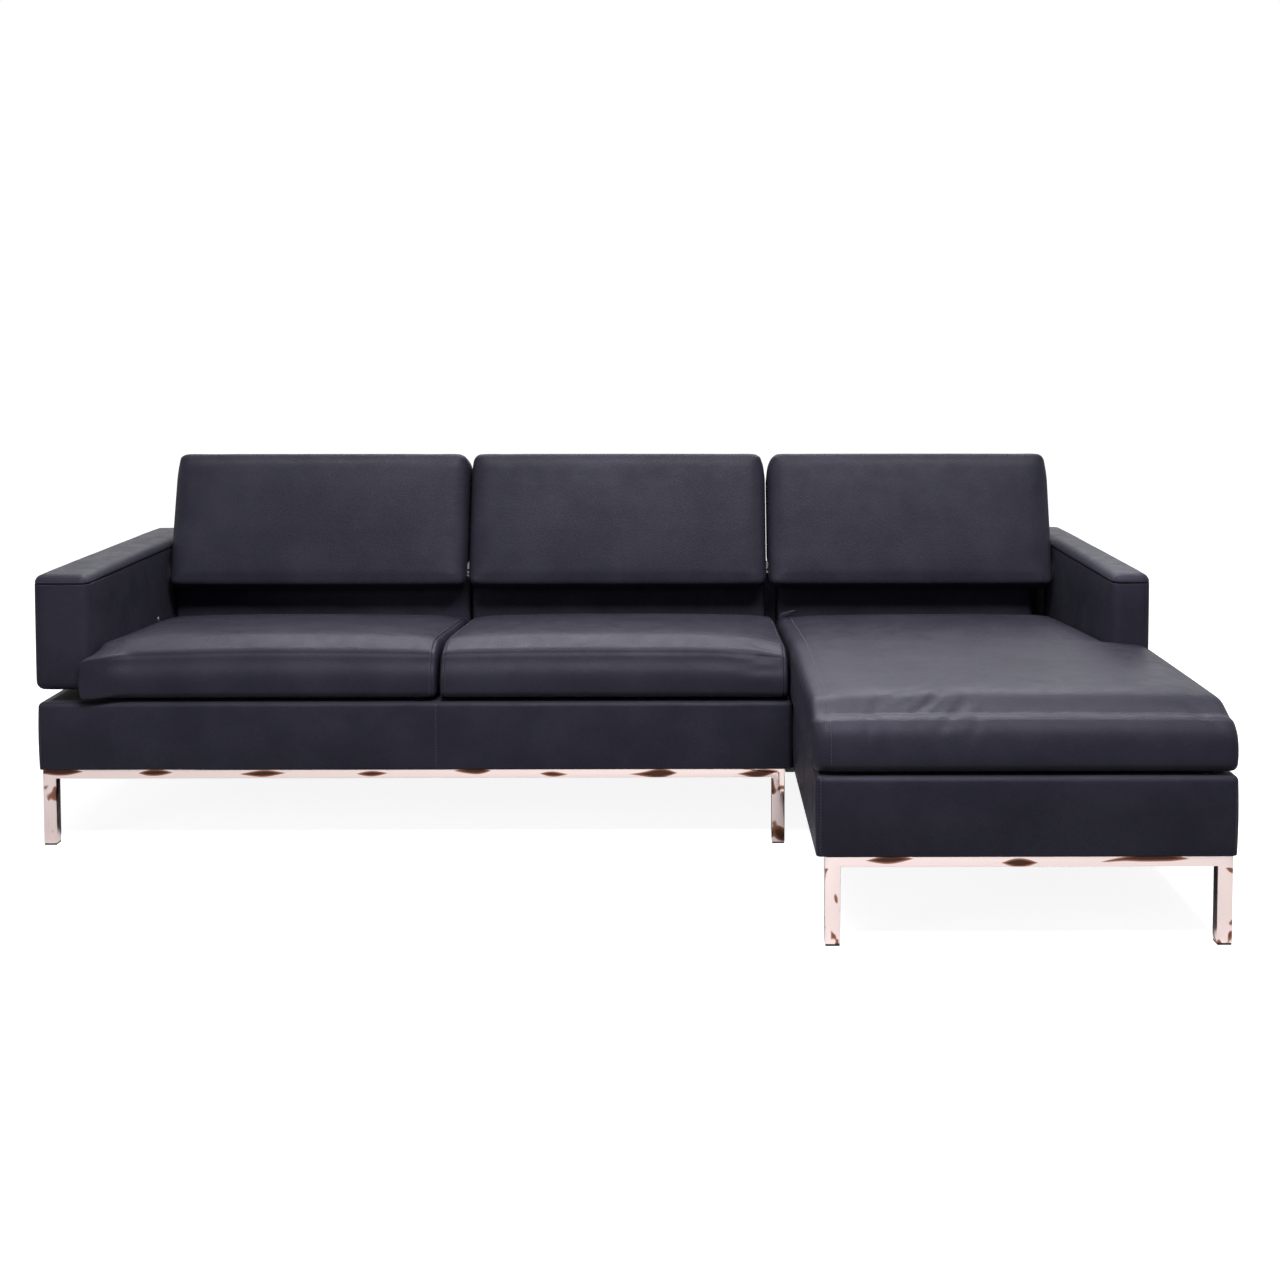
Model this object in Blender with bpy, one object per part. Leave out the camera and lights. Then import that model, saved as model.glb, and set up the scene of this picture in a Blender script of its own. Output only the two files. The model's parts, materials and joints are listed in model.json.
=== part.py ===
"""Sectional sofa: a two-seat unit and a chaise unit side by side.

X runs to the viewer's right, Y to the rear and Z up. The origin is on the floor, under the middle of
the whole sofa. Each unit is a board carcass on two tube leg frames, with a leather base cover, a deck,
a hollow lower back and one arm on steel brackets. Three back pads tilt on hinges over the lower back.
"""

import math

import bmesh
import bpy
from mathutils import Matrix, Vector

# Plan of the two units
two_seat_width = 1.749
chaise_width = 0.821
unit_gap = 0.003
unit_depth = 0.9315
chaise_length = 1.595
base_setback = 0.006
arm_overhang = 0.003

# Clearances
touch_gap = 0.0003
cut_overrun = 0.01

# Leg frames and glides
glide_height = 0.003
glide_side = 0.028
glide_stem_height = 0.015
tube_side = 0.030
tube_wall = 0.002
rail_height = 0.022
frame_height = 0.178
leg_side_inset = 0.008
inner_leg_inset = 0.0175
leg_front_inset = 0.005
leg_rear_inset = 0.040

# Base carcass, deck, cover and dust cover
base_height = 0.157
board_thickness = 0.018
deck_thickness = 0.012
cover_thickness = 0.005
cover_fold_width = 0.020
cover_edge_radius = 0.010
dust_cover_thickness = 0.0015
dust_cover_recess = 0.001
centre_rail_lift = 0.004

# Arms and their brackets
arm_gap = 0.028
arm_height = 0.269
left_arm_thickness = 0.123
right_arm_thickness = 0.084
arm_padding = 0.012
arm_edge_radius = 0.016
bracket_thickness = 0.008
bracket_width = 0.060
bracket_drop = 0.120
bracket_rise = 0.130
front_bracket_from_front = 0.280
rear_bracket_from_front = 0.520
cap_radius = 0.007
cap_height = 0.005
cap_above_arm_bottom = 0.077

# Seat cushions
seat_edge_height = 0.090
seat_front_rise = 0.042
seat_rise_run = 0.640
seat_crown = 0.012
seat_edge_radius = 0.034
seat_corner_radius = 0.030
seat_side_bulge = 0.0035
seat_side_gap = 0.0045
seat_front_overhang = 0.012
seat_split_from_left = 0.925
middle_seat_end_inset = 0.007
chaise_cushion_side_overlap = 0.0085
chaise_crown = 0.008
arm_face_gap = 0.0055

# Lower back
lower_back_depth = 0.2775
lower_back_height = 0.197
lower_panel_thickness = 0.050
lower_panel_radius = 0.012
back_board_thickness = 0.018
back_cover_thickness = 0.003
back_end_gap = 0.008
middle_panel_end_inset = 0.031
chaise_panel_end_inset = 0.041
panel_split_gap = 0.006
end_post_width = 0.022
end_post_thickness = 0.008
end_post_gap = 0.0175

# Back pads, measured upright from the hinge axis
pad_lean = math.radians(17)
hinge_from_rear = 0.1975
hinge_height = 0.582
pad_end_gap = 0.0085
pad_gap = 0.004
pad_split_shift = 0.004
middle_pad_end_inset = 0.0335
right_pad_gap = 0.0115
pad_front_reach = 0.1435
pad_drop = 0.112
pad_rise = 0.2555
pad_lip_thickness = 0.052
pad_lip_height = 0.067
pad_lip_slope = 0.015
pad_crown = 0.010
pad_edge_radius = 0.030
pad_corner_radius = 0.026
pad_side_bulge = 0.002

# Pad hinges
plate_thickness = 0.003
plate_setback = 0.0185
plate_side_margin = 0.060
plate_drop = 0.020
plate_rise = 0.200
rod_radius = 0.005
knuckle_radius = 0.0105
knuckle_width = 0.030
knuckle_pitch_share = 0.30
knuckle_side_gap = 0.004
hinge_strip_depth = 0.046
hinge_strip_thickness = 0.003
rod_overhang = 0.012

# Unit connector
connector_length = 0.080
connector_depth = 0.050
connector_thickness = 0.010
connector_leg_gap = 0.0017

# Levels
base_bottom = frame_height + touch_gap
base_top = base_bottom + base_height
deck_top = base_top - cover_thickness - touch_gap
deck_bottom = deck_top - deck_thickness
board_top = deck_bottom - touch_gap
seat_bottom = base_top + touch_gap
arm_bottom = base_top + arm_gap
arm_top = arm_bottom + arm_height
lower_back_bottom = base_top + touch_gap
lower_back_top = base_top + lower_back_height

# Places across the width and the depth
left_side = -(two_seat_width + unit_gap + chaise_width) / 2
two_seat_right = left_side + two_seat_width
chaise_left = two_seat_right + unit_gap
right_side = chaise_left + chaise_width
rear_face = chaise_length / 2
chaise_tip = -chaise_length / 2
chaise_front = chaise_tip + base_setback
two_seat_front = rear_face - unit_depth
left_arm_outer = left_side - arm_overhang
left_arm_inner = left_arm_outer + left_arm_thickness
right_arm_outer = right_side + arm_overhang
right_arm_inner = right_arm_outer - right_arm_thickness
seat_rear = rear_face - lower_back_depth - touch_gap
seat_split = left_side + seat_split_from_left
middle_seat_end = two_seat_right - middle_seat_end_inset
hinge_depth = rear_face - hinge_from_rear

# Facets
ROUND_SEGMENTS = 24
EDGE_SEGMENTS = 3
EDGE_LINE_SHARES = (0.0, 0.14, 0.45, 1.0)
SIDE_ROWS = 4
WITHIN_CORNER = 1.0001


def clear_scene():
    """Remove every object that a new file starts with."""
    for leftover in list(bpy.data.objects):
        bpy.data.objects.remove(leftover, do_unlink=True)


def finish(name, colour, roughness, metallic):
    """One Principled material."""
    material = bpy.data.materials.new(name)
    material.use_nodes = True
    shader = material.node_tree.nodes["Principled BSDF"]
    shader.inputs["Base Color"].default_value = (*colour, 1)
    shader.inputs["Roughness"].default_value = roughness
    shader.inputs["Metallic"].default_value = metallic
    material.diffuse_color = (*colour, 1)
    return material


def make_finishes():
    """The sofa's materials, by plain name."""
    return {
        "leather": finish("leather", (0.040, 0.038, 0.052), 0.42, 0),
        "rose_gold": finish("rose_gold", (0.86, 0.64, 0.55), 0.08, 1),
        "steel": finish("steel", (0.30, 0.30, 0.31), 0.38, 1),
        "board": finish("board", (0.52, 0.36, 0.20), 0.65, 0),
        "lining": finish("lining", (0.030, 0.030, 0.032), 0.9, 0),
        "black_plastic": finish("black_plastic", (0.020, 0.020, 0.022), 0.6, 0),
    }


def add_object(name, mesh, material, parent=None):
    """Link a mesh as one named object, under its parent if it has one."""
    made = bpy.data.objects.new(name, mesh)
    bpy.context.scene.collection.objects.link(made)
    if material is not None:
        made.data.materials.append(material)
    made.parent = parent
    return made


def mesh_from(name, points, faces):
    """A closed mesh from points and faces, with its faces turned out."""
    shape = bmesh.new()
    corners = [shape.verts.new(point) for point in points]
    for face in faces:
        shape.faces.new([corners[index] for index in face])
    bmesh.ops.recalc_face_normals(shape, faces=shape.faces)
    mesh = bpy.data.meshes.new(name)
    shape.to_mesh(mesh)
    shape.free()
    return mesh


def block(name, low, high, material, edge_radius=0, parent=None):
    """A box between two corners, with its origin at its middle and its edges rounded if asked."""
    low = Vector(low)
    high = Vector(high)
    half = (high - low) / 2
    points = []
    for side_x in (-1, 1):
        for side_y in (-1, 1):
            for side_z in (-1, 1):
                points.append((side_x * half.x, side_y * half.y, side_z * half.z))
    faces = [(0, 1, 3, 2), (4, 6, 7, 5), (0, 4, 5, 1), (2, 3, 7, 6), (0, 2, 6, 4), (1, 5, 7, 3)]
    made = add_object(name, mesh_from(name, points, faces), material, parent)
    made.location = (low + high) / 2
    if edge_radius:
        rounding = made.modifiers.new("edges", "BEVEL")
        rounding.width = edge_radius
        rounding.segments = EDGE_SEGMENTS
    return made


def prism(name, outline, low, high, place, material, parent=None):
    """An outline drawn out from low to high; place turns (across, up, along) into a point."""
    count = len(outline)
    points = [place(across, up, low) for across, up in outline]
    points += [place(across, up, high) for across, up in outline]
    faces = [tuple(range(count)), tuple(range(count, 2 * count))]
    for index in range(count):
        following = (index + 1) % count
        faces.append((index, following, count + following, count + index))
    return add_object(name, mesh_from(name, points, faces), material, parent)


def along_x(across, up, along):
    """An outline in depth and height, drawn out across the width."""
    return (along, across, up)


def along_y(across, up, along):
    """An outline in width and height, drawn out along the depth."""
    return (across, along, up)


def cut_away(target, cutter):
    """Take the cutter's shape out of the target."""
    cutter.hide_render = True
    cutter.display_type = "WIRE"
    cut = target.modifiers.new("cut", "BOOLEAN")
    cut.operation = "DIFFERENCE"
    cut.object = cutter


def weld_on(target, addition):
    """Join another closed shape to the target as one body."""
    addition.hide_render = True
    addition.display_type = "WIRE"
    weld = target.modifiers.new("weld", "BOOLEAN")
    weld.operation = "UNION"
    weld.object = addition


def circle_points(centre_across, centre_up, radius, start=0, turn=2 * math.pi, count=ROUND_SEGMENTS):
    """Points along a circle or an arc, the end of a full circle left out."""
    steps = count if turn >= 2 * math.pi else count - 1
    points = []
    for index in range(count):
        angle = start + turn * index / steps
        across = centre_across + radius * math.cos(angle)
        points.append((across, centre_up + radius * math.sin(angle)))
    return points


def edge_lines(low, high, radius, interior_count, extra=()):
    """Grid lines from low to high: close together along both rounded edges, even between them."""
    lines = [low + share * radius for share in EDGE_LINE_SHARES]
    lines += [high - share * radius for share in EDGE_LINE_SHARES]
    span = high - low - 2 * radius
    for index in range(1, interior_count):
        lines.append(low + radius + span * index / interior_count)
    lines += list(extra)
    return sorted(lines)


def distance_to_outline(point, outline):
    """Shortest distance from a point to the closed outline's sides."""
    nearest = math.inf
    for index, start in enumerate(outline):
        first = Vector(start)
        side = Vector(outline[(index + 1) % len(outline)]) - first
        along = (Vector(point) - first).dot(side) / side.length_squared
        foot = first + side * min(max(along, 0), 1)
        nearest = min(nearest, (Vector(point) - foot).length)
    return nearest


def round_plan(point, corners, radius):
    """Draw a plan point in where it lies in one of the square corners, which makes them round."""
    across, along = point
    for corner_across, corner_along, sign_across, sign_along in corners:
        centre_across = corner_across - sign_across * radius
        centre_along = corner_along - sign_along * radius
        share_across = (across - centre_across) * sign_across / radius
        share_along = (along - centre_along) * sign_along / radius
        if 0 < share_across <= WITHIN_CORNER and 0 < share_along <= WITHIN_CORNER:
            drawn_across = share_across * math.sqrt(1 - share_along**2 / 2)
            drawn_along = share_along * math.sqrt(1 - share_across**2 / 2)
            across = centre_across + sign_across * radius * drawn_across
            along = centre_along + sign_along * radius * drawn_along
            break
    return across, along


def quarter_round(distance, radius):
    """Height gained by a quarter-round edge at a distance in from the outline."""
    inward = min(distance / radius, 1)
    return radius * math.sqrt(max(1 - (1 - inward) ** 2, 0))


def fullness(share_across, share_along):
    """How full a cushion is at a place, from 1 at its middle to 0 along its outline."""
    return math.sqrt(max(1 - share_across**2, 0) * max(1 - share_along**2, 0))


class SoftForm:
    """A cushion on a plan grid: a crowned top, a flatter underside and bulging side walls."""

    def __init__(self, lines_across, lines_along, outline, corners, corner_radius, side_bulge):
        self.lines_across = lines_across
        self.lines_along = lines_along
        self.outline = outline
        self.corners = corners
        self.corner_radius = corner_radius
        self.side_bulge = side_bulge
        self.points = []
        self.faces = []

    def holds(self, column, row):
        """Whether the outline holds a grid cell."""
        if not (0 <= column < len(self.lines_across) - 1 and 0 <= row < len(self.lines_along) - 1):
            return False
        across = (self.lines_across[column] + self.lines_across[column + 1]) / 2
        along = (self.lines_along[row] + self.lines_along[row + 1]) / 2
        inside = False
        for index, (start_across, start_along) in enumerate(self.outline):
            end_across, end_along = self.outline[(index + 1) % len(self.outline)]
            if (start_along > along) != (end_along > along):
                share = (along - start_along) / (end_along - start_along)
                if across < start_across + share * (end_across - start_across):
                    inside = not inside
        return inside

    def outward(self, column, row):
        """Plan direction away from the form at a grid corner, zero inside it."""
        away = Vector((0, 0))
        for step_column, step_row in ((-1, -1), (-1, 0), (0, -1), (0, 0)):
            if not self.holds(column + step_column, row + step_row):
                away += Vector((2 * step_column + 1, 2 * step_row + 1))
        return away.normalized() if away.length else away

    def point(self, column, row, height, bulge):
        """Add one point and give its index."""
        place = (self.lines_across[column], self.lines_along[row])
        across, along = round_plan(place, self.corners, self.corner_radius)
        away = self.outward(column, row) * bulge
        self.points.append((across + away.x, along + away.y, height))
        return len(self.points) - 1

    def build(self, top_height, bottom_height):
        """Fill in points and faces; the heights are functions of place and distance inward."""
        cells = []
        for column in range(len(self.lines_across) - 1):
            for row in range(len(self.lines_along) - 1):
                if self.holds(column, row):
                    cells.append((column, row))
        spots = sorted({(c + dc, r + dr) for c, r in cells for dc in (0, 1) for dr in (0, 1)})
        top = {}
        bottom = {}
        rims = []
        for column, row in spots:
            across = self.lines_across[column]
            along = self.lines_along[row]
            inward = distance_to_outline((across, along), self.outline)
            high = top_height(across, along, inward)
            low = bottom_height(across, along, inward)
            top[column, row] = self.point(column, row, high, 0)
            bottom[column, row] = self.point(column, row, low, 0)
        for column, row in cells:
            loop = ((column, row), (column + 1, row), (column + 1, row + 1), (column, row + 1))
            self.faces.append(tuple(top[spot] for spot in loop))
            self.faces.append(tuple(bottom[spot] for spot in reversed(loop)))
            for step_column, step_row, start, end in (
                (0, -1, loop[0], loop[1]),
                (1, 0, loop[1], loop[2]),
                (0, 1, loop[2], loop[3]),
                (-1, 0, loop[3], loop[0]),
            ):
                if not self.holds(column + step_column, row + step_row):
                    rims.append((start, end))
        self.add_walls(top, bottom, rims)

    def add_walls(self, top, bottom, rims):
        """Side walls between the rims of the top and the underside, bulging at half height."""
        ladders = {}
        for spot in {spot for rim in rims for spot in rim}:
            high = self.points[top[spot]][2]
            low = self.points[bottom[spot]][2]
            ladder = [bottom[spot]]
            for step in range(1, SIDE_ROWS):
                share = step / SIDE_ROWS
                bulge = self.side_bulge * math.sin(math.pi * share)
                ladder.append(self.point(*spot, low + (high - low) * share, bulge))
            ladder.append(top[spot])
            ladders[spot] = ladder
        for start, end in rims:
            for step in range(SIDE_ROWS):
                first = ladders[start]
                second = ladders[end]
                self.faces.append((first[step], second[step], second[step + 1], first[step + 1]))


def rectangle(left, right, near, far):
    """A plan rectangle and its four outer corners with the signs that point out of it."""
    outline = [(left, near), (right, near), (right, far), (left, far)]
    corners = [(left, near, -1, -1), (right, near, 1, -1), (right, far, 1, 1), (left, far, -1, 1)]
    return outline, corners


def edge_top(from_rear, inward):
    """Height of a seat cushion's top without its crown: round at the edges, rising to the front."""
    rise = seat_front_rise * min(from_rear / seat_rise_run, 1)
    return seat_edge_height - seat_edge_radius + quarter_round(inward, seat_edge_radius) + rise


def seat_cushion(name, left, right, near, far, material):
    """A seat cushion with a crowned top, round edges and gently bulging sides."""
    left += seat_side_bulge
    right -= seat_side_bulge
    near += seat_side_bulge
    far -= seat_side_bulge
    outline, corners = rectangle(left, right, near, far)
    middle = Vector(((left + right) / 2, (near + far) / 2))
    form = SoftForm(
        [line - middle.x for line in edge_lines(left, right, seat_edge_radius, 8)],
        [line - middle.y for line in edge_lines(near, far, seat_edge_radius, 6)],
        [(across - middle.x, along - middle.y) for across, along in outline],
        [(a - middle.x, b - middle.y, c, d) for a, b, c, d in corners],
        seat_corner_radius,
        seat_side_bulge,
    )
    half_width = (right - left) / 2
    half_depth = (far - near) / 2

    def top_height(across, along, inward):
        swell = seat_crown * fullness(across / half_width, along / half_depth)
        return edge_top(half_depth - along, inward) + swell

    form.build(top_height, lambda across, along, inward: 0)
    made = add_object(name, mesh_from(name, form.points, form.faces), material)
    made.location = (middle.x, middle.y, seat_bottom)
    made.data.shade_smooth()
    return made


def chaise_cushion(name, material):
    """The long cushion, notched at its right so that it passes in front of the right arm."""
    left = chaise_left - chaise_cushion_side_overlap + seat_side_bulge
    right = right_arm_outer - seat_side_bulge
    near = chaise_tip + seat_side_bulge
    far = seat_rear - seat_side_bulge
    notch_left = right_arm_inner - touch_gap - seat_side_bulge
    notch_near = two_seat_front - arm_face_gap - seat_side_bulge
    radius = seat_edge_radius
    outline = [(left, near), (right, near), (right, notch_near), (notch_left, notch_near)]
    outline += [(notch_left, far), (left, far)]
    corners = [
        (left, near, -1, -1),
        (right, near, 1, -1),
        (right, notch_near, 1, 1),
        (notch_left, far, 1, 1),
        (left, far, -1, 1),
    ]
    notch_lines_across = [notch_left - share * radius for share in EDGE_LINE_SHARES]
    notch_lines_along = [notch_near - share * radius for share in EDGE_LINE_SHARES]
    form = SoftForm(
        edge_lines(left, right, radius, 1, notch_lines_across + even_lines(left, notch_left, radius, 7)),
        edge_lines(near, far, radius, 1, notch_lines_along + chaise_rows(near, notch_near, far, radius)),
        outline,
        corners,
        seat_corner_radius,
        seat_side_bulge,
    )
    middle_across = (left + right) / 2
    middle_along = (near + far) / 2
    half_width = (right - left) / 2
    half_length = (far - near) / 2

    def top_height(across, along, inward):
        share_along = (along - middle_along) / half_length
        swell = chaise_crown * fullness((across - middle_across) / half_width, share_along**3)
        return edge_top(far - along, inward) + swell

    form.build(top_height, lambda across, along, inward: 0)
    made = add_object(name, mesh_from(name, form.points, form.faces), material)
    made.location = (0, 0, seat_bottom)
    made.data.shade_smooth()
    return made


def even_lines(low, high, margin, count):
    """Even grid lines strictly between two margins."""
    span = high - low - 2 * margin
    return [low + margin + span * index / count for index in range(1, count)]


def chaise_rows(near, notch, far, margin):
    """Grid lines along the chaise cushion, in front of its notch and behind it."""
    rows = even_lines(near, notch, margin, 7)
    rows += even_lines(notch - margin, far, margin, 7)
    return rows


def back_pad(name, width, hinge, material):
    """A back pad: full above the hinge, thinned to a lip that hangs before the lower back."""
    half_width = width / 2 - pad_side_bulge
    low = -pad_drop + pad_side_bulge
    high = pad_rise - pad_side_bulge
    outline, corners = rectangle(-half_width, half_width, low, high)
    lip_top = low + pad_lip_height
    extra = (lip_top, lip_top + pad_lip_slope)
    lines_along = edge_lines(low, high, pad_edge_radius, 5, extra)
    form = SoftForm(
        edge_lines(-half_width, half_width, pad_edge_radius, 8),
        lines_along,
        outline,
        corners,
        pad_corner_radius,
        pad_side_bulge,
    )
    middle = (low + high) / 2
    half_height = (high - low) / 2

    def front_surface(across, along, inward):
        swell = pad_crown * fullness(across / half_width, (along - middle) / half_height)
        face = pad_front_reach - pad_crown - pad_edge_radius
        return face + quarter_round(inward, pad_edge_radius) + swell

    def rear_surface(across, along, inward):
        share = min(max((along - lip_top) / pad_lip_slope, 0), 1)
        lip = pad_front_reach - pad_lip_thickness
        body = plate_setback + plate_thickness + touch_gap
        return lip + (body - lip) * share

    form.build(front_surface, rear_surface)
    stand_up = Matrix.Rotation(math.radians(90), 4, "X")
    points = [stand_up @ Vector(point) for point in form.points]
    made = add_object(name, mesh_from(name, points, form.faces), material, hinge)
    made.data.shade_smooth()
    return made


def leg_frame(name, left, right, near, glides, finishes):
    """An inverted U of square tube, open at both feet, with a glide plugged into each foot."""
    low = glide_height + touch_gap
    rail_low = frame_height - rail_height
    outer = [
        (left, low),
        (left + tube_side, low),
        (left + tube_side, rail_low),
        (right - tube_side, rail_low),
        (right - tube_side, low),
        (right, low),
        (right, frame_height),
        (left, frame_height),
    ]
    bore_low = low - cut_overrun
    bore = [
        (left + tube_wall, bore_low),
        (left + tube_side - tube_wall, bore_low),
        (left + tube_side - tube_wall, rail_low + tube_wall),
        (right - tube_side + tube_wall, rail_low + tube_wall),
        (right - tube_side + tube_wall, bore_low),
        (right - tube_wall, bore_low),
        (right - tube_wall, frame_height - tube_wall),
        (left + tube_wall, frame_height - tube_wall),
    ]
    frame = prism(name, outer, near, near + tube_side, along_y, finishes["rose_gold"])
    bore_near = near + tube_wall
    bore_far = near + tube_side - tube_wall
    cut_away(frame, prism(name + "_bore", bore, bore_near, bore_far, along_y, None))
    middle_y = near + tube_side / 2
    for glide, middle_x in zip(glides, (left + tube_side / 2, right - tube_side / 2)):
        add_glide(glide, middle_x, middle_y, finishes["black_plastic"])
    return frame


def add_glide(name, middle_x, middle_y, material):
    """A flat foot with a square stem that plugs into the tube."""
    cap_half = glide_side / 2
    stem_half = tube_side / 2 - tube_wall - touch_gap
    steps = (
        (0, cap_half),
        (glide_height, cap_half),
        (glide_height, stem_half),
        (glide_height + glide_stem_height, stem_half),
    )
    points = []
    for height, half in steps:
        points += [(-half, -half, height), (half, -half, height), (half, half, height), (-half, half, height)]
    faces = [(0, 1, 2, 3), tuple(range(len(points) - 4, len(points)))]
    for ring in range(len(steps) - 1):
        for side in range(4):
            following = (side + 1) % 4
            lower = ring * 4
            upper = lower + 4
            faces.append((lower + side, lower + following, upper + following, upper + side))
    made = add_object(name, mesh_from(name, points, faces), material)
    made.location = (middle_x, middle_y, 0)
    return made


def leg_frames(unit, left, right, near, finishes):
    """The front and rear leg frames of one unit."""
    far = rear_face - leg_rear_inset - tube_side
    for end, place in (("front", near + leg_front_inset), ("rear", far)):
        glides = (f"{unit}_{end}_left_glide", f"{unit}_{end}_right_glide")
        leg_frame(f"{unit}_{end}_leg_frame", left, right, place, glides, finishes)


def carcass(unit, left, right, near, finishes, centre=None):
    """The board rails under the deck, and the dust cover inside them."""
    board = finishes["board"]
    skin = cover_thickness + touch_gap
    low_x = left + skin
    high_x = right - skin
    low_y = near + skin
    high_y = rear_face - skin
    side_low = low_y + board_thickness + touch_gap
    side_high = high_y - board_thickness - touch_gap
    block(
        f"{unit}_front_rail",
        (low_x, low_y, base_bottom),
        (high_x, low_y + board_thickness, board_top),
        board,
    )
    block(
        f"{unit}_rear_rail",
        (low_x, high_y - board_thickness, base_bottom),
        (high_x, high_y, board_top),
        board,
    )
    block(
        f"{unit}_left_rail",
        (low_x, side_low, base_bottom),
        (low_x + board_thickness, side_high, board_top),
        board,
    )
    block(
        f"{unit}_right_rail",
        (high_x - board_thickness, side_low, base_bottom),
        (high_x, side_high, board_top),
        board,
    )
    if centre is not None:
        block(
            f"{unit}_centre_rail",
            (centre - board_thickness / 2, side_low, base_bottom + centre_rail_lift),
            (centre + board_thickness / 2, side_high, board_top),
            board,
        )
    dust_low = base_bottom + dust_cover_recess
    block(
        f"{unit}_dust_cover",
        (low_x + board_thickness + touch_gap, side_low, dust_low),
        (high_x - board_thickness - touch_gap, side_high, dust_low + dust_cover_thickness),
        finishes["lining"],
    )


def deck(unit, left, right, near, bracket_places, finishes):
    """The board that carries the cushions, slotted where the arm brackets pass."""
    skin = cover_thickness + touch_gap
    made = block(
        f"{unit}_deck",
        (left + skin, near + skin, deck_bottom),
        (right - skin, rear_face - skin, deck_top),
        finishes["board"],
    )
    for index, (low_x, low_y) in enumerate(bracket_places):
        cut_away(made, bracket_cutter(f"{unit}_deck_slot_{index}", low_x, low_y, deck_bottom, deck_top))
    return made


def bracket_cutter(name, low_x, low_y, low_z, high_z):
    """A slot round an arm bracket, through everything between two heights."""
    return block(
        name,
        (low_x - touch_gap, low_y - touch_gap, low_z - cut_overrun),
        (low_x + bracket_thickness + touch_gap, low_y + bracket_width + touch_gap, high_z + cut_overrun),
        None,
    )


def base_cover(unit, left, right, near, finishes):
    """The leather round the base, turned over the edge of the deck."""
    blank_low = base_bottom - 2 * cover_edge_radius
    made = block(
        f"{unit}_base_cover",
        (left, near, blank_low),
        (right, rear_face, base_top),
        finishes["leather"],
        cover_edge_radius,
    )
    trim = block(
        f"{unit}_base_cover_trim",
        (left - cut_overrun, near - cut_overrun, blank_low - cut_overrun),
        (right + cut_overrun, rear_face + cut_overrun, base_bottom),
        None,
    )
    inner = block(
        f"{unit}_base_cover_inside",
        (left + cover_thickness, near + cover_thickness, base_bottom - cut_overrun),
        (right - cover_thickness, rear_face - cover_thickness, base_top - cover_thickness),
        None,
    )
    mouth = block(
        f"{unit}_base_cover_mouth",
        (left + cover_fold_width, near + cover_fold_width, deck_top - cut_overrun),
        (right - cover_fold_width, rear_face - cover_fold_width, base_top + cut_overrun),
        None,
    )
    for cutter in (trim, inner, mouth):
        cut_away(made, cutter)
    return made


def arm(side, left, right, bracket_x, finishes):
    """A padded arm: board core and leather cover, held clear of the base by two steel brackets."""
    core = block(
        f"{side}_arm_core",
        (left + arm_padding, two_seat_front + arm_padding, arm_bottom + arm_padding),
        (right - arm_padding, rear_face - arm_padding, arm_top - arm_padding),
        finishes["board"],
    )
    cover = block(
        f"{side}_arm_cover",
        (left, two_seat_front, arm_bottom),
        (right, rear_face, arm_top),
        finishes["leather"],
        arm_edge_radius,
    )
    inset = arm_padding - touch_gap
    hollow = block(
        f"{side}_arm_cover_inside",
        (left + inset, two_seat_front + inset, arm_bottom + inset),
        (right - inset, rear_face - inset, arm_top - inset),
        None,
    )
    cut_away(cover, hollow)
    bracket_low = base_top - bracket_drop
    bracket_high = arm_bottom + bracket_rise
    for end, from_front in (("front", front_bracket_from_front), ("rear", rear_bracket_from_front)):
        low_y = two_seat_front + from_front - bracket_width / 2
        block(
            f"{side}_arm_{end}_bracket",
            (bracket_x, low_y, bracket_low),
            (bracket_x + bracket_thickness, low_y + bracket_width, bracket_high),
            finishes["steel"],
        )
        slot_high = bracket_high - cut_overrun + touch_gap
        slot = bracket_cutter(f"{side}_arm_{end}_slot", bracket_x, low_y, arm_bottom, slot_high)
        cut_away(core, slot)
        cut_away(cover, slot)


def arm_cap(finishes):
    """The round cap on the left arm's inner face, over the rear bracket's bolt."""
    middle_y = two_seat_front + rear_bracket_from_front
    middle_z = arm_bottom + cap_above_arm_bottom
    low_x = left_arm_inner + touch_gap
    profile = circle_points(0, 0, cap_radius)
    cap = prism("left_arm_cap", profile, 0, cap_height, along_x, finishes["black_plastic"])
    cap.location = (low_x, middle_y, middle_z)
    return cap


def lower_back(unit, left, right, panels, finishes):
    """A hollow board frame open below, its upholstered front panels and its leather back cover."""
    panel_near = rear_face - lower_back_depth
    frame_near = panel_near + lower_panel_thickness + touch_gap
    frame_far = rear_face - back_cover_thickness - touch_gap
    frame_high = lower_back_top
    board = back_board_thickness
    outline = [
        (frame_near, lower_back_bottom),
        (frame_near + board, lower_back_bottom),
        (frame_near + board, frame_high - board),
        (frame_far - board, frame_high - board),
        (frame_far - board, lower_back_bottom),
        (frame_far, lower_back_bottom),
        (frame_far, frame_high),
        (frame_near, frame_high),
    ]
    prism(f"{unit}_back_frame", outline, left, right, along_x, finishes["board"])
    cover_near = hinge_depth + hinge_strip_depth / 2 + touch_gap
    cover_high = frame_high + touch_gap + back_cover_thickness
    cover = [
        (cover_near, frame_high + touch_gap),
        (rear_face - back_cover_thickness, frame_high + touch_gap),
        (rear_face - back_cover_thickness, lower_back_bottom),
        (rear_face, lower_back_bottom),
        (rear_face, cover_high),
        (cover_near, cover_high),
    ]
    prism(f"{unit}_back_cover", cover, left, right, along_x, finishes["leather"])
    for name, panel_left, panel_right in panels:
        block(
            name,
            (panel_left, panel_near, lower_back_bottom),
            (panel_right, panel_near + lower_panel_thickness, frame_high),
            finishes["leather"],
            lower_panel_radius,
        )


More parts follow.
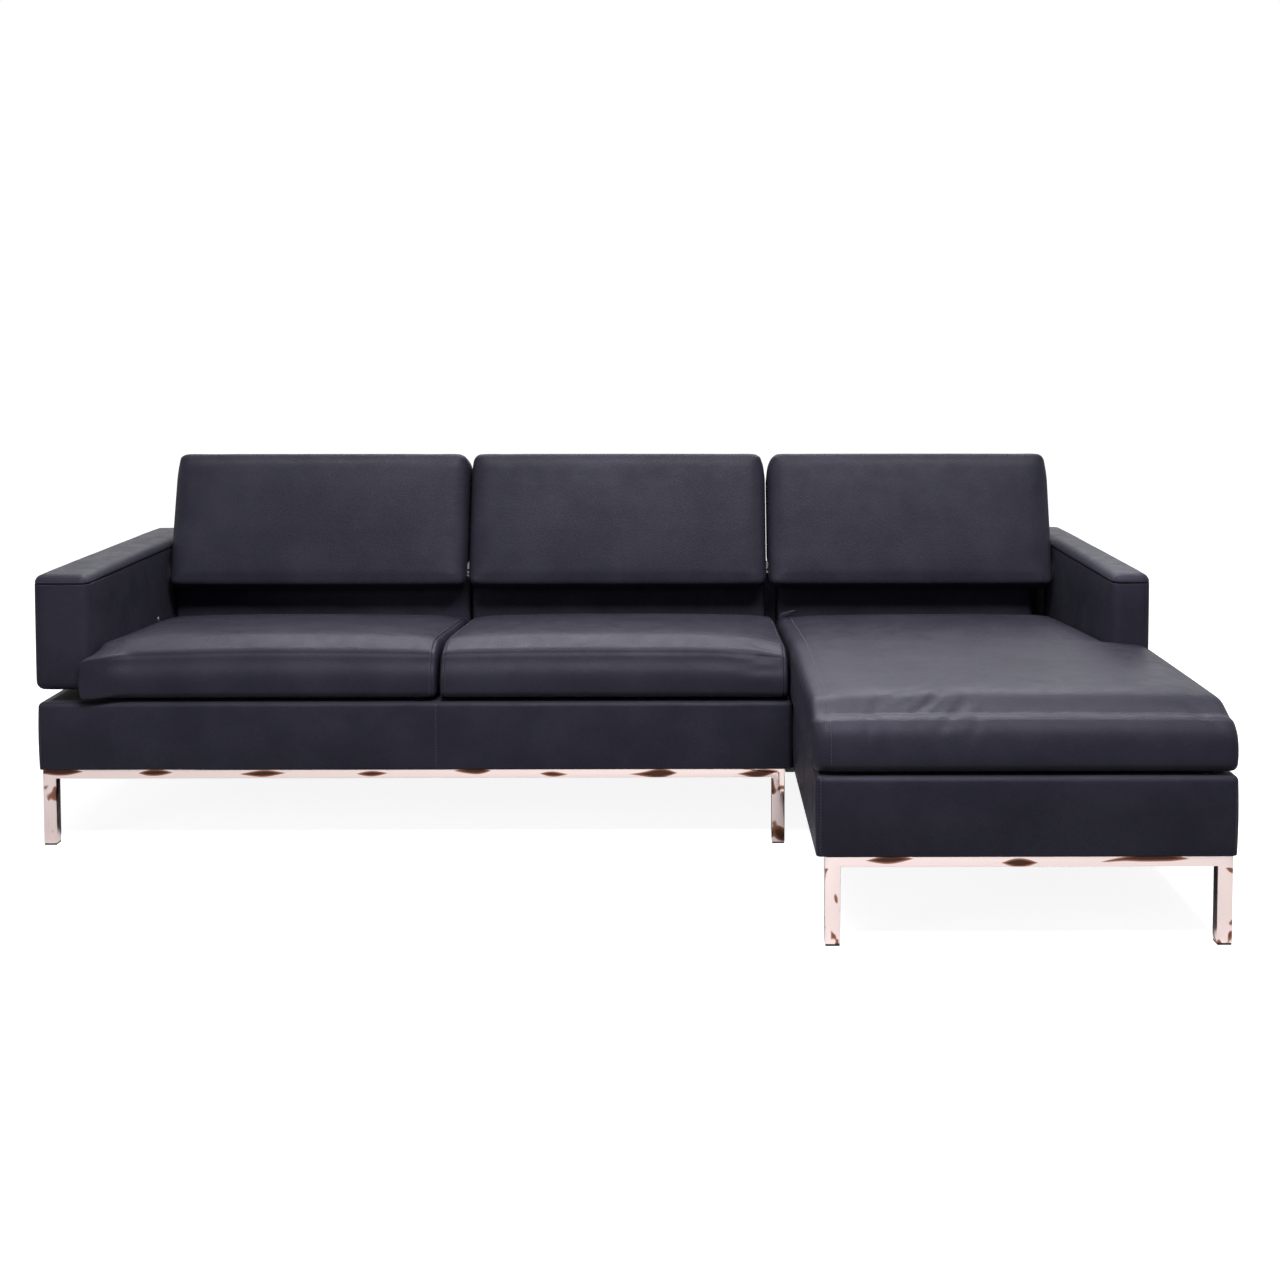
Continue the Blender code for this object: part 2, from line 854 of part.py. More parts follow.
def knuckle(name, middle_x, outline, hinge):
    """One hinge ear, drawn out along the hinge axis; it is welded to its leaf."""
    low = middle_x - knuckle_width / 2
    return prism(name, outline, low, low + knuckle_width, along_x, None, hinge)


def knuckle_places(pitch):
    """Middles of the fixed ears along the hinge axis."""
    return [step * pitch for step in (-1, 0, 1)]


def bore_cutter(name, pitch, hinge):
    """The clearance hole for the rod, through every ear."""
    reach = pitch + 2 * knuckle_width
    profile = circle_points(0, 0, rod_radius + touch_gap)
    return prism(name, profile, -reach, reach, along_x, None, hinge)


def back_hinge(side, hinge_rest, hinge_tilt, pad_width, finishes):
    """The fixed rail, the rod and the pad's plate, which share one axis."""
    steel = finishes["steel"]
    pitch = pad_width * knuckle_pitch_share
    rail_low = lower_back_top + touch_gap - hinge_height
    reach = pitch + knuckle_width
    half_strip = hinge_strip_depth / 2
    rail_high = rail_low + hinge_strip_thickness
    strip = [(-half_strip, rail_low), (half_strip, rail_low), (half_strip, rail_high), (-half_strip, rail_high)]
    rail = prism(f"{side}_hinge_rail", strip, -reach, reach, along_x, steel, hinge_rest)
    weld_depth = hinge_strip_thickness / 2
    post = circle_points(0, 0, knuckle_radius, 0, math.pi, ROUND_SEGMENTS // 2 + 1)
    post += [(-knuckle_radius, rail_low + weld_depth), (knuckle_radius, rail_low + weld_depth)]
    for index, place in enumerate(knuckle_places(pitch)):
        weld_on(rail, knuckle(f"{side}_fixed_ear_{index}", place, post, hinge_rest))
    cut_away(rail, bore_cutter(f"{side}_rail_bore", pitch, hinge_rest))

    profile = circle_points(0, 0, rod_radius)
    rod_low = -pitch - knuckle_width / 2 - rod_overhang
    rod_high = pitch + knuckle_width * 3 / 2 + knuckle_side_gap + rod_overhang
    rod = prism(f"{side}_hinge_rod", profile, rod_low, rod_high, along_x, steel, hinge_rest)
    rod.data.shade_smooth()
    rod.data.set_sharp_from_angle(angle=math.radians(40))

    half_plate = pad_width / 2 - plate_side_margin
    plate_near = -plate_setback - plate_thickness
    leaf = [
        (plate_near, -plate_drop),
        (-plate_setback, -plate_drop),
        (-plate_setback, plate_rise),
        (plate_near, plate_rise),
    ]
    plate = prism(f"{side}_pad_plate", leaf, -half_plate, half_plate, along_x, steel, hinge_tilt)
    weld_near = -plate_setback - plate_thickness / 2
    ear = circle_points(0, 0, knuckle_radius, -math.pi / 2, math.pi, ROUND_SEGMENTS // 2 + 1)
    ear += [(weld_near, knuckle_radius), (weld_near, -knuckle_radius)]
    for index, place in enumerate(knuckle_places(pitch)):
        beside = place + knuckle_width + knuckle_side_gap
        weld_on(plate, knuckle(f"{side}_pad_ear_{index}", beside, ear, hinge_tilt))
    cut_away(plate, bore_cutter(f"{side}_plate_bore", pitch, hinge_tilt))


def axis_empty(name, middle_x, lean):
    """An empty on a pad's hinge axis."""
    made = bpy.data.objects.new(name, None)
    bpy.context.scene.collection.objects.link(made)
    made.location = (middle_x, hinge_depth, hinge_height)
    made.rotation_euler = (-lean, 0, 0)
    return made


def build_pads(finishes):
    """The three back pads with their hinges, from left to right."""
    pad_split = seat_split - pad_split_shift
    middle_pad_right = two_seat_right - middle_pad_end_inset
    spans = {
        "left": (left_arm_inner + pad_end_gap, pad_split - pad_gap / 2),
        "middle": (pad_split + pad_gap / 2, middle_pad_right),
        "right": (middle_pad_right + right_pad_gap, right_arm_inner - pad_end_gap),
    }
    for side, (left, right) in spans.items():
        width = right - left
        middle_x = (left + right) / 2
        hinge_rest = axis_empty(f"{side}_hinge_axis", middle_x, 0)
        hinge_tilt = axis_empty(f"{side}_pad_axis", middle_x, pad_lean)
        back_pad(f"{side}_back_pad", width, hinge_tilt, finishes["leather"])
        back_hinge(side, hinge_rest, hinge_tilt, width, finishes)


def build_two_seat(finishes):
    """The two-seat unit with the left arm."""
    skin = cover_thickness + touch_gap
    bracket_x = left_side + skin + board_thickness + touch_gap
    leg_left = left_side + leg_side_inset
    leg_right = two_seat_right - inner_leg_inset
    leg_frames("two_seat", leg_left, leg_right, two_seat_front, finishes)
    carcass("two_seat", left_side, two_seat_right, two_seat_front, finishes, seat_split)
    deck("two_seat", left_side, two_seat_right, two_seat_front, bracket_slots(bracket_x), finishes)
    base_cover("two_seat", left_side, two_seat_right, two_seat_front, finishes)
    arm("left", left_arm_outer, left_arm_inner, bracket_x, finishes)
    arm_cap(finishes)
    back_left = left_arm_inner + back_end_gap
    back_right = two_seat_right - touch_gap
    panels = (
        ("left_lower_back_panel", back_left, seat_split - panel_split_gap / 2),
        ("middle_lower_back_panel", seat_split + panel_split_gap / 2, two_seat_right - middle_panel_end_inset),
    )
    lower_back("two_seat", back_left, back_right, panels, finishes)
    near = two_seat_front - seat_front_overhang
    leather = finishes["leather"]
    left_end = left_arm_inner + touch_gap
    half_gap = seat_side_gap / 2
    seat_cushion("left_seat_cushion", left_end, seat_split - half_gap, near, seat_rear, leather)
    seat_cushion("middle_seat_cushion", seat_split + half_gap, middle_seat_end, near, seat_rear, leather)


def bracket_slots(bracket_x):
    """Low corners of the deck slots for one arm's two brackets."""
    slots = []
    for from_front in (front_bracket_from_front, rear_bracket_from_front):
        slots.append((bracket_x, two_seat_front + from_front - bracket_width / 2))
    return slots


def build_chaise(finishes):
    """The chaise unit with the right arm."""
    skin = cover_thickness + touch_gap
    bracket_x = right_side - skin - board_thickness - touch_gap - bracket_thickness
    leg_left = chaise_left + inner_leg_inset
    leg_right = right_side - leg_side_inset
    leg_frames("chaise", leg_left, leg_right, chaise_front, finishes)
    carcass("chaise", chaise_left, right_side, chaise_front, finishes)
    deck("chaise", chaise_left, right_side, chaise_front, bracket_slots(bracket_x), finishes)
    base_cover("chaise", chaise_left, right_side, chaise_front, finishes)
    arm("right", right_arm_inner, right_arm_outer, bracket_x, finishes)
    back_left = chaise_left + touch_gap
    back_right = right_arm_inner - back_end_gap
    panel_right = back_right - chaise_panel_end_inset
    panels = (("right_lower_back_panel", back_left, panel_right),)
    lower_back("chaise", back_left, back_right, panels, finishes)
    post_left = panel_right + end_post_gap
    post_far = rear_face - lower_back_depth + lower_panel_thickness
    block(
        "chaise_back_end_post",
        (post_left, post_far - end_post_thickness, lower_back_bottom),
        (post_left + end_post_width, post_far, lower_back_top),
        finishes["steel"],
    )
    chaise_cushion("chaise_cushion", finishes["leather"])


def build_connector(finishes):
    """The steel plate that holds the two units together, under their bases."""
    left = two_seat_right - inner_leg_inset + connector_leg_gap
    near = two_seat_front + base_setback
    high = base_bottom - touch_gap
    block(
        "unit_connector",
        (left, near, high - connector_thickness),
        (left + connector_length, near + connector_depth, high),
        finishes["steel"],
    )


clear_scene()
sofa_finishes = make_finishes()
build_two_seat(sofa_finishes)
build_chaise(sofa_finishes)
build_pads(sofa_finishes)
build_connector(sofa_finishes)
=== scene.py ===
"""Looks of the sectional sofa: soft leather pieces, seams, polished tubes, materials, light and camera.

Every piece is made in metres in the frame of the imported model: X to the viewer's right, Y to the rear,
Z up, and the floor at zero.
"""

import json
import math

import bmesh
import bpy
import numpy as np
from mathutils import Matrix, Vector
from mathutils.bvhtree import BVHTree


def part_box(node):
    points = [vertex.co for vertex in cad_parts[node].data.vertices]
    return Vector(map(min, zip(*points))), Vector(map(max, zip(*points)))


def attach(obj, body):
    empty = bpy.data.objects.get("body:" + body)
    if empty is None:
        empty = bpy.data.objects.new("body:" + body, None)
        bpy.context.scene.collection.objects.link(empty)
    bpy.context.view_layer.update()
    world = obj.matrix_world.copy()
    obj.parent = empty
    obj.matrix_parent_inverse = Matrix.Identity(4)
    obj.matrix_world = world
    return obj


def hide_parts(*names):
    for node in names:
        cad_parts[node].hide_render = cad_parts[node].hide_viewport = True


SIDES = ("left", "middle", "right")

# Camera
CAMERA_PLACE = (0.1991, -4.0394, 1.2113)
CAMERA_DOWN = math.radians(2.910)
CAMERA_RIGHT = math.radians(0.440)
CAMERA_LENS = 47.81
CAMERA_SENSOR = 36
CAMERA_SHIFT = (-0.0407, -0.1795)

# Light: each lamp's name, place, aim, size, power and whether it only shows in reflections
LAMP_COLOUR = (0.94, 0.94, 1.0)
LAMPS = (
    ("rear_high", (0.1, 1.0, 3.1), (0.1, -0.2, 0.4), (3.6, 1.0), 16, False),
    ("rear_sheen", (0.1, 1.2, 3.1), (0.1, -0.4, 0.4), (3.8, 1.0), 190, True),
    ("rear_top", (0.3, 3.2, 2.9), (0.2, -0.2, 0.45), (4.4, 1.8), 50, False),
    ("upper_front", (0.4, -2.1, 3.6), (0.2, 0.0, 0.4), (2.8, 0.9), 210, False),
    ("low_left", (-3.1, -3.2, 1.5), (-0.9, 0, 0.4), (1.6, 1.2), 20, False),
)
WORLD_COLOUR = (0.95, 0.97, 1.0)
WORLD_LIGHT = 0.06

# Floor: its glow near the sofa and far from it, the distances between which that changes, and its tone
FLOOR_SIZE = 40
FLOOR_DROP = 0.0005
FLOOR_GLOW = (0.90, 1.02)
FLOOR_FADE = (1.5, 3.4)
FLOOR_TONE = 0.78
FLOOR_TONE_DROP = 0.70

# Dark screen: part of an upright tube round the sofa, open to the rear
SCREEN_RADIUS = 7.0
SCREEN_FOOT = 0.05
SCREEN_HEIGHT = 4.4
SCREEN_TURN = 0.36 * math.pi

# Soft pieces
SEAT_SPACING = 0.0105
SEAT_CORNER = 0.016
ROUND_STEPS = 9
SEAT_REAR = (0.030, 0.020)
TOP_INSET = 0.035
STITCH_PITCH = 0.0062
STITCH_LENGTH = 0.0042
STITCH_RADIUS = 0.00048
SEAM_INSET = 0.012
CHAISE_SEAM_INSET = 0.033
GROOVE_STEP = 0.002
GROOVE_BATCH = 4000
SEAM_STEP = 0.006
RAY_START = 0.05
PROBE_RISE = 0.1
SLICE_REACH = 0.06
SLICE_DEPTH = 0.05
BAND_WIDTH = 0.012
BAND_DEPTH = 0.0012
BAND_FROM_FRONT = 0.034
CHAISE_BAND_FROM_FRONT = 0.063
LIP_SQUARENESS = 4.0
LIP_REACH = 0.032
PAD_TOP_SQUARENESS = 7.0
PAD_TOP_REACH = 0.030
PAD_FACE_CROWN = 0.009

# Upright slices through the cushions' fronts: how far behind the foremost line, and share of the height
SEAT_NOSE = (
    (0.0900, 1.000), (0.0700, 1.000), (0.0610, 0.994), (0.0550, 0.980), (0.0503, 0.960),
    (0.0467, 0.938), (0.0437, 0.914), (0.0410, 0.888), (0.0387, 0.862), (0.0372, 0.835),
    (0.0358, 0.800), (0.0325, 0.757), (0.0255, 0.695), (0.0155, 0.628), (0.0062, 0.552),
    (0.0018, 0.480), (0.0000, 0.420), (0.0010, 0.340), (0.0040, 0.260), (0.0090, 0.180),
    (0.0160, 0.105), (0.0260, 0.045), (0.0450, 0.008), (0.0900, 0.000),
)
CHAISE_NOSE = (
    (0.1100, 1.000), (0.1050, 0.999), (0.0920, 0.987), (0.0820, 0.968), (0.0740, 0.944),
    (0.0690, 0.917), (0.0658, 0.890), (0.0632, 0.864), (0.0592, 0.838), (0.0530, 0.813),
    (0.0452, 0.789), (0.0365, 0.762), (0.0273, 0.729), (0.0190, 0.690), (0.0122, 0.645),
    (0.0070, 0.593), (0.0033, 0.532), (0.0011, 0.463), (0.0001, 0.390), (0.0000, 0.331),
    (0.0012, 0.260), (0.0035, 0.203), (0.0070, 0.146), (0.0120, 0.096), (0.0175, 0.053),
    (0.0240, 0.024), (0.0330, 0.006), (0.0500, 0.001), (0.1100, 0.000),
)

# Swelling: caps give how far a piece may go out and in, and rounds of evening
PAD_VOXEL = 0.007
RELAX_ROUNDS = 6
SEAT_RELAX_ROUNDS = 4
CLOTH_FRAMES = 20
CLOTH = {
    "quality": 4,
    "mass": 0.3,
    "tension_stiffness": 15,
    "compression_stiffness": 15,
    "shear_stiffness": 5,
    "bending_stiffness": 0.8,
    "use_pressure": True,
    "uniform_pressure_force": 4,
}
SWELL_CAP = 0.06
SEAT_CAPS = (0.007, 0.0015, 16)
PAD_CAPS = (0.005, 0.0004, 16)
PAD_LEAN = math.radians(17)
PAD_REAR_PADDING = 0.0095
PAD_FULLNESS = {"left": (0.003, 0.0013), "middle": (0.0013, 0.0050), "right": (0.0050, 0.004)}
PAD_TOP_LIMIT = 0.0015

# How the cushions reach past their CAD solids, and the room that they leave to the arms
SEAT_AHEAD = 0.004
SEAT_RAISED = 0.005
RAISED_FROM = 0.05
RAISED_TO = 0.45
CHAISE_AHEAD = 0.0025
CHAISE_FULLNESS = 0.004
CHAISE_LEFT_CORNER = (0.046, 0.030)
CHAISE_RIGHT_CORNER = (0.030, 0.008)
LEFT_END_DROP = 0.010
LEFT_END_RUN = 0.10
LEFT_END_REACH = 0.020
MIDDLE_END_DROP = 0.012
OUT_LEFT = 0.024
OUT_RIGHT = 0.006
OUT_FRONT = 0.020
OUT_BELOW = 0.008
ARM_ROOM = 0.004
ARM_TOUCH = 0.0003

# Seams: the stitch rows' shifts to the side, and the groove's width and depth
SEAT_SEAM_SHIFT = 0.0042
SEAT_SEAM = {"width": 0.006, "depth": 0.0022}
PAD_SEAM = {"rows": (0.0036,), "width": 0.0055, "depth": 0.0020}
ARM_SEAM = {"rows": (0.0034, -0.0034), "width": 0.0045, "depth": 0.0014}
FRONT_SEAM = {"rows": (0.0036,), "width": 0.0045, "depth": 0.0020}
COVER_SEAM = {"rows": (0.0036,), "width": 0.0045, "depth": 0.0012}
COVER_SPLIT_SEAM = {"rows": (0.0036, -0.0036), "width": 0.0045, "depth": 0.0012}

# A stitch's rings: share of half its length, share of its thickness, and its lift in radii
STITCH_RINGS = ((-1, 0.35, -0.7), (-0.55, 1, 0.35), (0.55, 1, 0.35), (1, 0.35, -0.7))

# Soft folds: start and end near the surface, width and depth
LEFT_FOLDS = (
    ((-1.10, -0.02, 0.45), (-0.80, -0.075, 0.46), 0.020, 0.0010),
    ((-0.60, 0.02, 0.46), (-0.43, -0.06, 0.46), 0.016, 0.0010),
)
MIDDLE_FOLDS = (
    ((0.452, -0.110, 0.455), (0.330, -0.060, 0.465), 0.011, 0.0016),
    ((0.452, -0.135, 0.440), (0.300, -0.118, 0.455), 0.010, 0.0015),
    ((0.452, -0.150, 0.420), (0.340, -0.153, 0.415), 0.010, 0.0012),
    ((0.445, -0.050, 0.455), (0.360, 0.010, 0.460), 0.013, 0.0010),
)
BASE_FOLDS = {
    "two_seat": (
        ((-1.18, -0.134, 0.30), (-1.05, -0.134, 0.262), 0.020, 0.0008),
        ((-0.62, -0.134, 0.305), (-0.52, -0.134, 0.275), 0.016, 0.0010),
        ((-0.47, -0.134, 0.30), (-0.40, -0.134, 0.325), 0.014, 0.0010),
        ((0.12, -0.134, 0.31), (0.26, -0.134, 0.28), 0.020, 0.0008),
        ((0.30, -0.134, 0.30), (0.43, -0.134, 0.322), 0.016, 0.0010),
    ),
    "chaise": (
        ((0.62, -0.7915, 0.30), (0.80, -0.7915, 0.27), 0.022, 0.0008),
        ((1.00, -0.7915, 0.31), (1.12, -0.7915, 0.29), 0.018, 0.0008),
        ((0.4655, -0.60, 0.31), (0.4655, -0.45, 0.27), 0.020, 0.0010),
    ),
}
CHAISE_FOLDS = (
    ((0.600, -0.700, 0.460), (0.700, -0.640, 0.470), 0.012, 0.0016),
    ((0.640, -0.755, 0.440), (0.745, -0.650, 0.470), 0.011, 0.0018),
    ((0.700, -0.790, 0.420), (0.775, -0.690, 0.470), 0.012, 0.0018),
    ((0.760, -0.800, 0.400), (0.800, -0.720, 0.465), 0.013, 0.0014),
    ((0.560, -0.795, 0.400), (0.590, -0.690, 0.460), 0.012, 0.0016),
    ((1.180, -0.700, 0.460), (1.265, -0.780, 0.420), 0.012, 0.0014),
    ((0.500, 0.300, 0.440), (0.620, 0.180, 0.455), 0.020, 0.0014),
)

# Arms, bases and tubes
ARM_SEAM_DROP = 0.020
ARM_RADIUS = 0.020
ARM_OUTER_FULLNESS = 0.0035
ARM_SPACINGS = (0.010, 0.012, 0.010)
ARM_SEEDS = {"left": 5, "right": 9}
BASE_RADIUS = 0.011
BASE_LEATHER = 0.0046
BASE_SEEDS = {"two_seat": 27, "chaise": 21}
TUBE_SIDE = 0.030
RAIL_HEIGHT = 0.022
RAIL_MIDDLE = 0.167
# LENS_PITCH spaces the painted reflection lenses along the rails
LENS_PITCH = 0.235
TUBE_EDGE = 0.0022
PANEL_RADIUS = 0.014
PANEL_SPACINGS = (0.012, 0.010, 0.010)
PANEL_SEAM_INSET = 0.008
STRIP_CROWN = 0.0022

# Rear covers, the pads' rear seams and small pieces
COVER_RADIUS = 0.008
COVER_LEATHER = 0.003
COVER_SPACING = 0.012
COVER_SEAM_DROP = 0.016
COVER_SEEDS = {"two_seat": 47, "chaise": 41}
PAD_SEAM_FROM_REAR = 0.020
PAD_SEAM_FOOT = 0.060
PAD_SEAM_RADIUS = 0.030
PAD_SEAM_STEP = 0.01
PIN_PROFILE = ((0.0, 1.0), (0.30, 1.0), (0.62, 0.86), (0.86, 0.56), (1.0, 0.20))
PIN_SIDES = 28
TAB_LENGTH = 0.046
TAB_RISE = 0.019
TAB_WIDTH = 0.0085
TAB_THICKNESS = 0.0032
TAB_FROM_SIDE = 0.010
TAB_FROM_REAR = 0.022
TAB_SIDES = 12

# Leather and metal
LEATHER_SHINE = 0.10
LEATHER_TINT = (0.93, 0.92, 1.0)
# Painted reflections on the metal: the brown and dark colours laid into it, and how the lens shapes drift, vary
# and are cut off
PAINTED_REFLECTION_BROWN = (0.30, 0.13, 0.08)
PAINTED_REFLECTION_DARK = (0.035, 0.018, 0.014)
LENS_DRIFT = 7.0
LENS_UNEVENNESS = 1.3
LENS_THRESHOLD = 0.95

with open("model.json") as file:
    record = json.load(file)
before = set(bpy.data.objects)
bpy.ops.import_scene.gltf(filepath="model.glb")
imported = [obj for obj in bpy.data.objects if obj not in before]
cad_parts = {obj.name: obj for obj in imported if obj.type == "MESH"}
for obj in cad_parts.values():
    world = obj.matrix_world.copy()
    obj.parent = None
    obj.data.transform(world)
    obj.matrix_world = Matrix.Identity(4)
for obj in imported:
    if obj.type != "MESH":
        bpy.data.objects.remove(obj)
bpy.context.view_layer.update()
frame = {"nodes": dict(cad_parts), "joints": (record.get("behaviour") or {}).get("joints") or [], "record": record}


def points_of(piece):
    """The piece's points as an array."""
    flat = np.zeros(len(piece.data.vertices) * 3)
    piece.data.vertices.foreach_get("co", flat)
    return flat.reshape(-1, 3)


def set_points(piece, points):
    """Give the piece's points new places."""
    piece.data.vertices.foreach_set("co", np.ascontiguousarray(points).ravel())
    piece.data.update()


def normals_of(piece):
    """The piece's vertex normals as an array."""
    flat = np.zeros(len(piece.data.vertices) * 3)
    piece.data.vertices.foreach_get("normal", flat)
    return flat.reshape(-1, 3)


def add_piece(name, mesh):
    """Link a mesh as one object."""
    made = bpy.data.objects.new(name, mesh)
    bpy.context.scene.collection.objects.link(made)
    return made


def from_bmesh(name, shape):
    """Turn an edited mesh into an object."""
    bmesh.ops.recalc_face_normals(shape, faces=shape.faces)
    mesh = bpy.data.meshes.new(name)
    shape.to_mesh(mesh)
    shape.free()
    return add_piece(name, mesh)


def bake_modifiers(piece):
    """Replace the piece's mesh by what its modifiers make of it."""
    graph = bpy.context.evaluated_depsgraph_get()
    mesh = bpy.data.meshes.new_from_object(piece.evaluated_get(graph))
    piece.modifiers.clear()
    piece.data = mesh
    mesh.name = piece.name
    return piece


def smooth(piece):
    """Shade the piece smooth."""
    piece.data.shade_smooth()
    return piece


def step(value, low, high):
    """0 below low, 1 above high and an even ease between them."""
    share = np.clip((value - low) / (high - low), 0, 1)
    return share * share * (3 - 2 * share)


def tree_of(piece):
    """The piece's faces, for finding places on them."""
    return BVHTree.FromObject(piece, bpy.context.evaluated_depsgraph_get())


def height_at(tree, across, along, above):
    """Where a ray from above meets the faces of a tree, or None."""
    return tree.ray_cast(Vector((across, along, above)), Vector((0, 0, -1)))[0]


def modify(piece, kind, **values):
    """Add a modifier with the given settings and apply it."""
    modifier = piece.modifiers.new(kind.lower(), kind)
    for key, value in values.items():
        setattr(modifier, key, value)
    return bake_modifiers(piece)


def relax(piece, rounds):
    """Ease the piece's points towards their neighbours."""
    return modify(piece, "SMOOTH", factor=0.5, iterations=rounds)


def subdivide(piece):
    """One subdivision, applied, and smooth shading."""
    return smooth(modify(piece, "SUBSURF", levels=1, render_levels=1))


def hold(piece, held):
    """Keep the given points in place during the cloth run; held is a weight for each point."""
    group = piece.vertex_groups.new(name="held")
    for index in np.nonzero(held > 0.01)[0]:
        group.add([int(index)], float(held[index]), "REPLACE")


def inflate(pieces):
    """Swell the pieces together with Blender's cloth, none of them further than the cap."""
    starts = [points_of(piece) for piece in pieces]
    for piece in pieces:
        cloth = piece.modifiers.new("cloth", "CLOTH")
        for key, value in CLOTH.items():
            setattr(cloth.settings, key, value)
        cloth.settings.effector_weights.gravity = 0
        if "held" in piece.vertex_groups:
            cloth.settings.vertex_group_mass = "held"
        cloth.point_cache.frame_start = 1
        cloth.point_cache.frame_end = CLOTH_FRAMES
    for number in range(1, CLOTH_FRAMES + 1):
        bpy.context.scene.frame_set(number)
    for piece, start in zip(pieces, starts):
        bake_modifiers(piece)
        moved = points_of(piece) - start
        length = np.maximum(np.linalg.norm(moved, axis=1, keepdims=True), 1e-9)
        set_points(piece, start + moved / length * SWELL_CAP * np.tanh(length / SWELL_CAP))
    bpy.context.scene.frame_set(1)


# ---- materials ------------------------------------------------------------------------------------


class Graph:
    """Short calls for building a node tree."""

    def __init__(self, tree):
        self.tree = tree
        self.place = self.add("ShaderNodeTexCoord", {}).outputs["Object"]

    def fill(self, node, inputs):
        """Give a node's inputs their values: outputs of other nodes, colours or numbers."""
        for key, value in inputs.items():
            socket = node.inputs[key]
            if isinstance(value, bpy.types.NodeSocket):
                self.tree.links.new(value, socket)
            elif socket.type == "RGBA":
                socket.default_value = (*value, 1)
            else:
                socket.default_value = value

    def add(self, kind, inputs, **values):
        """A new node."""
        node = self.tree.nodes.new(kind)
        for key, value in values.items():
            setattr(node, key, value)
        self.fill(node, inputs)
        return node

    def stretched(self, scale):
        """The object's coordinates, scaled along each axis."""
        return self.add("ShaderNodeMapping", {"Scale": scale, "Vector": self.place}).outputs["Vector"]

    def noise(self, scale, detail=3.0, place=None, roughness=0.55, distortion=0.0):
        """A noise value."""
        inputs = {"Scale": scale, "Detail": detail, "Roughness": roughness, "Distortion": distortion}
        return self.add("ShaderNodeTexNoise", {**inputs, "Vector": place or self.place}).outputs["Fac"]

    def cells(self, scale, feature):
        """Distances in a cell pattern."""
        inputs = {"Scale": scale, "Vector": self.place}
        return self.add("ShaderNodeTexVoronoi", inputs, feature=feature).outputs["Distance"]

    def math(self, operation, *values):
        """A calculation on values, each of which may be a number."""
        return self.add("ShaderNodeMath", dict(enumerate(values)), operation=operation).outputs["Value"]

    def spread(self, value, *ranges):
        """Map a value from one range, low and high, to another."""
        inputs = dict(enumerate((value, *ranges)))
        return self.add("ShaderNodeMapRange", inputs, interpolation_type="SMOOTHSTEP").outputs["Result"]

    def blend(self, share, first, second):
        """A mix of two colours."""
        return self.add("ShaderNodeMix", {0: share, 6: first, 7: second}, data_type="RGBA").outputs[2]

    def bump(self, height, strength, distance, before=None):
        """A bump from a height, on top of another bump where one is given."""
        inputs = {"Strength": strength, "Distance": distance, "Height": height}
        if before is not None:
            inputs["Normal"] = before
        return self.add("ShaderNodeBump", inputs).outputs["Normal"]


def new_material(name, colour, roughness, metallic=0.0):
    """A Principled material with its plain numbers set on the shader, its shader and its graph."""
    material = bpy.data.materials.new(name)
    material.use_nodes = True
    material.diffuse_color = (*colour, 1)
    shader = material.node_tree.nodes["Principled BSDF"]
    graph = Graph(material.node_tree)
    graph.fill(shader, {"Base Color": colour, "Roughness": roughness, "Metallic": metallic})
    return material, shader, graph


def leather_material(name, colour, light_colour):
    """Soft full-grain leather: pebbled grain, fine creases, mottled colour and worn edges."""
    material, shader, graph = new_material(name, colour, 0.46)
    graph.fill(shader, {"Specular IOR Level": LEATHER_SHINE, "Specular Tint": LEATHER_TINT})
    mottle = graph.noise(7.0, 4.0)
    base = graph.blend(graph.spread(mottle, 0.3, 0.72, 0.0, 1.0), colour, light_colour)
    grain = graph.cells(560.0, "DISTANCE_TO_EDGE")
    dark = tuple(channel * 0.55 for channel in colour)
    base = graph.blend(graph.spread(grain, 0.0, 0.16, 0.45, 0.0), base, dark)
    wear = graph.add("ShaderNodeNewGeometry", {}).outputs["Pointiness"]
    bright = tuple(min(channel * 2.1, 1) for channel in light_colour)
    base = graph.blend(graph.spread(wear, 0.52, 0.60, 0.0, 0.55), base, bright)
    rough = graph.spread(graph.noise(26.0, 4.0), 0.25, 0.75, 0.40, 0.52)
    crease = graph.noise(9.0, 5.0, roughness=0.62, distortion=0.6)
    fine = graph.math("MULTIPLY", graph.noise(900.0, 2.0), 0.5)
    height = graph.math("ADD", graph.spread(grain, 0.0, 0.3, 0.0, 1.0), fine)
    normal = graph.bump(crease, 0.10, 0.006)
    normal = graph.bump(graph.cells(190.0, "SMOOTH_F1"), 0.16, 0.0012, normal)
    normal = graph.bump(height, 0.30, 0.00035, normal)
    graph.fill(shader, {"Base Color": base, "Roughness": rough, "Normal": normal})
    return material


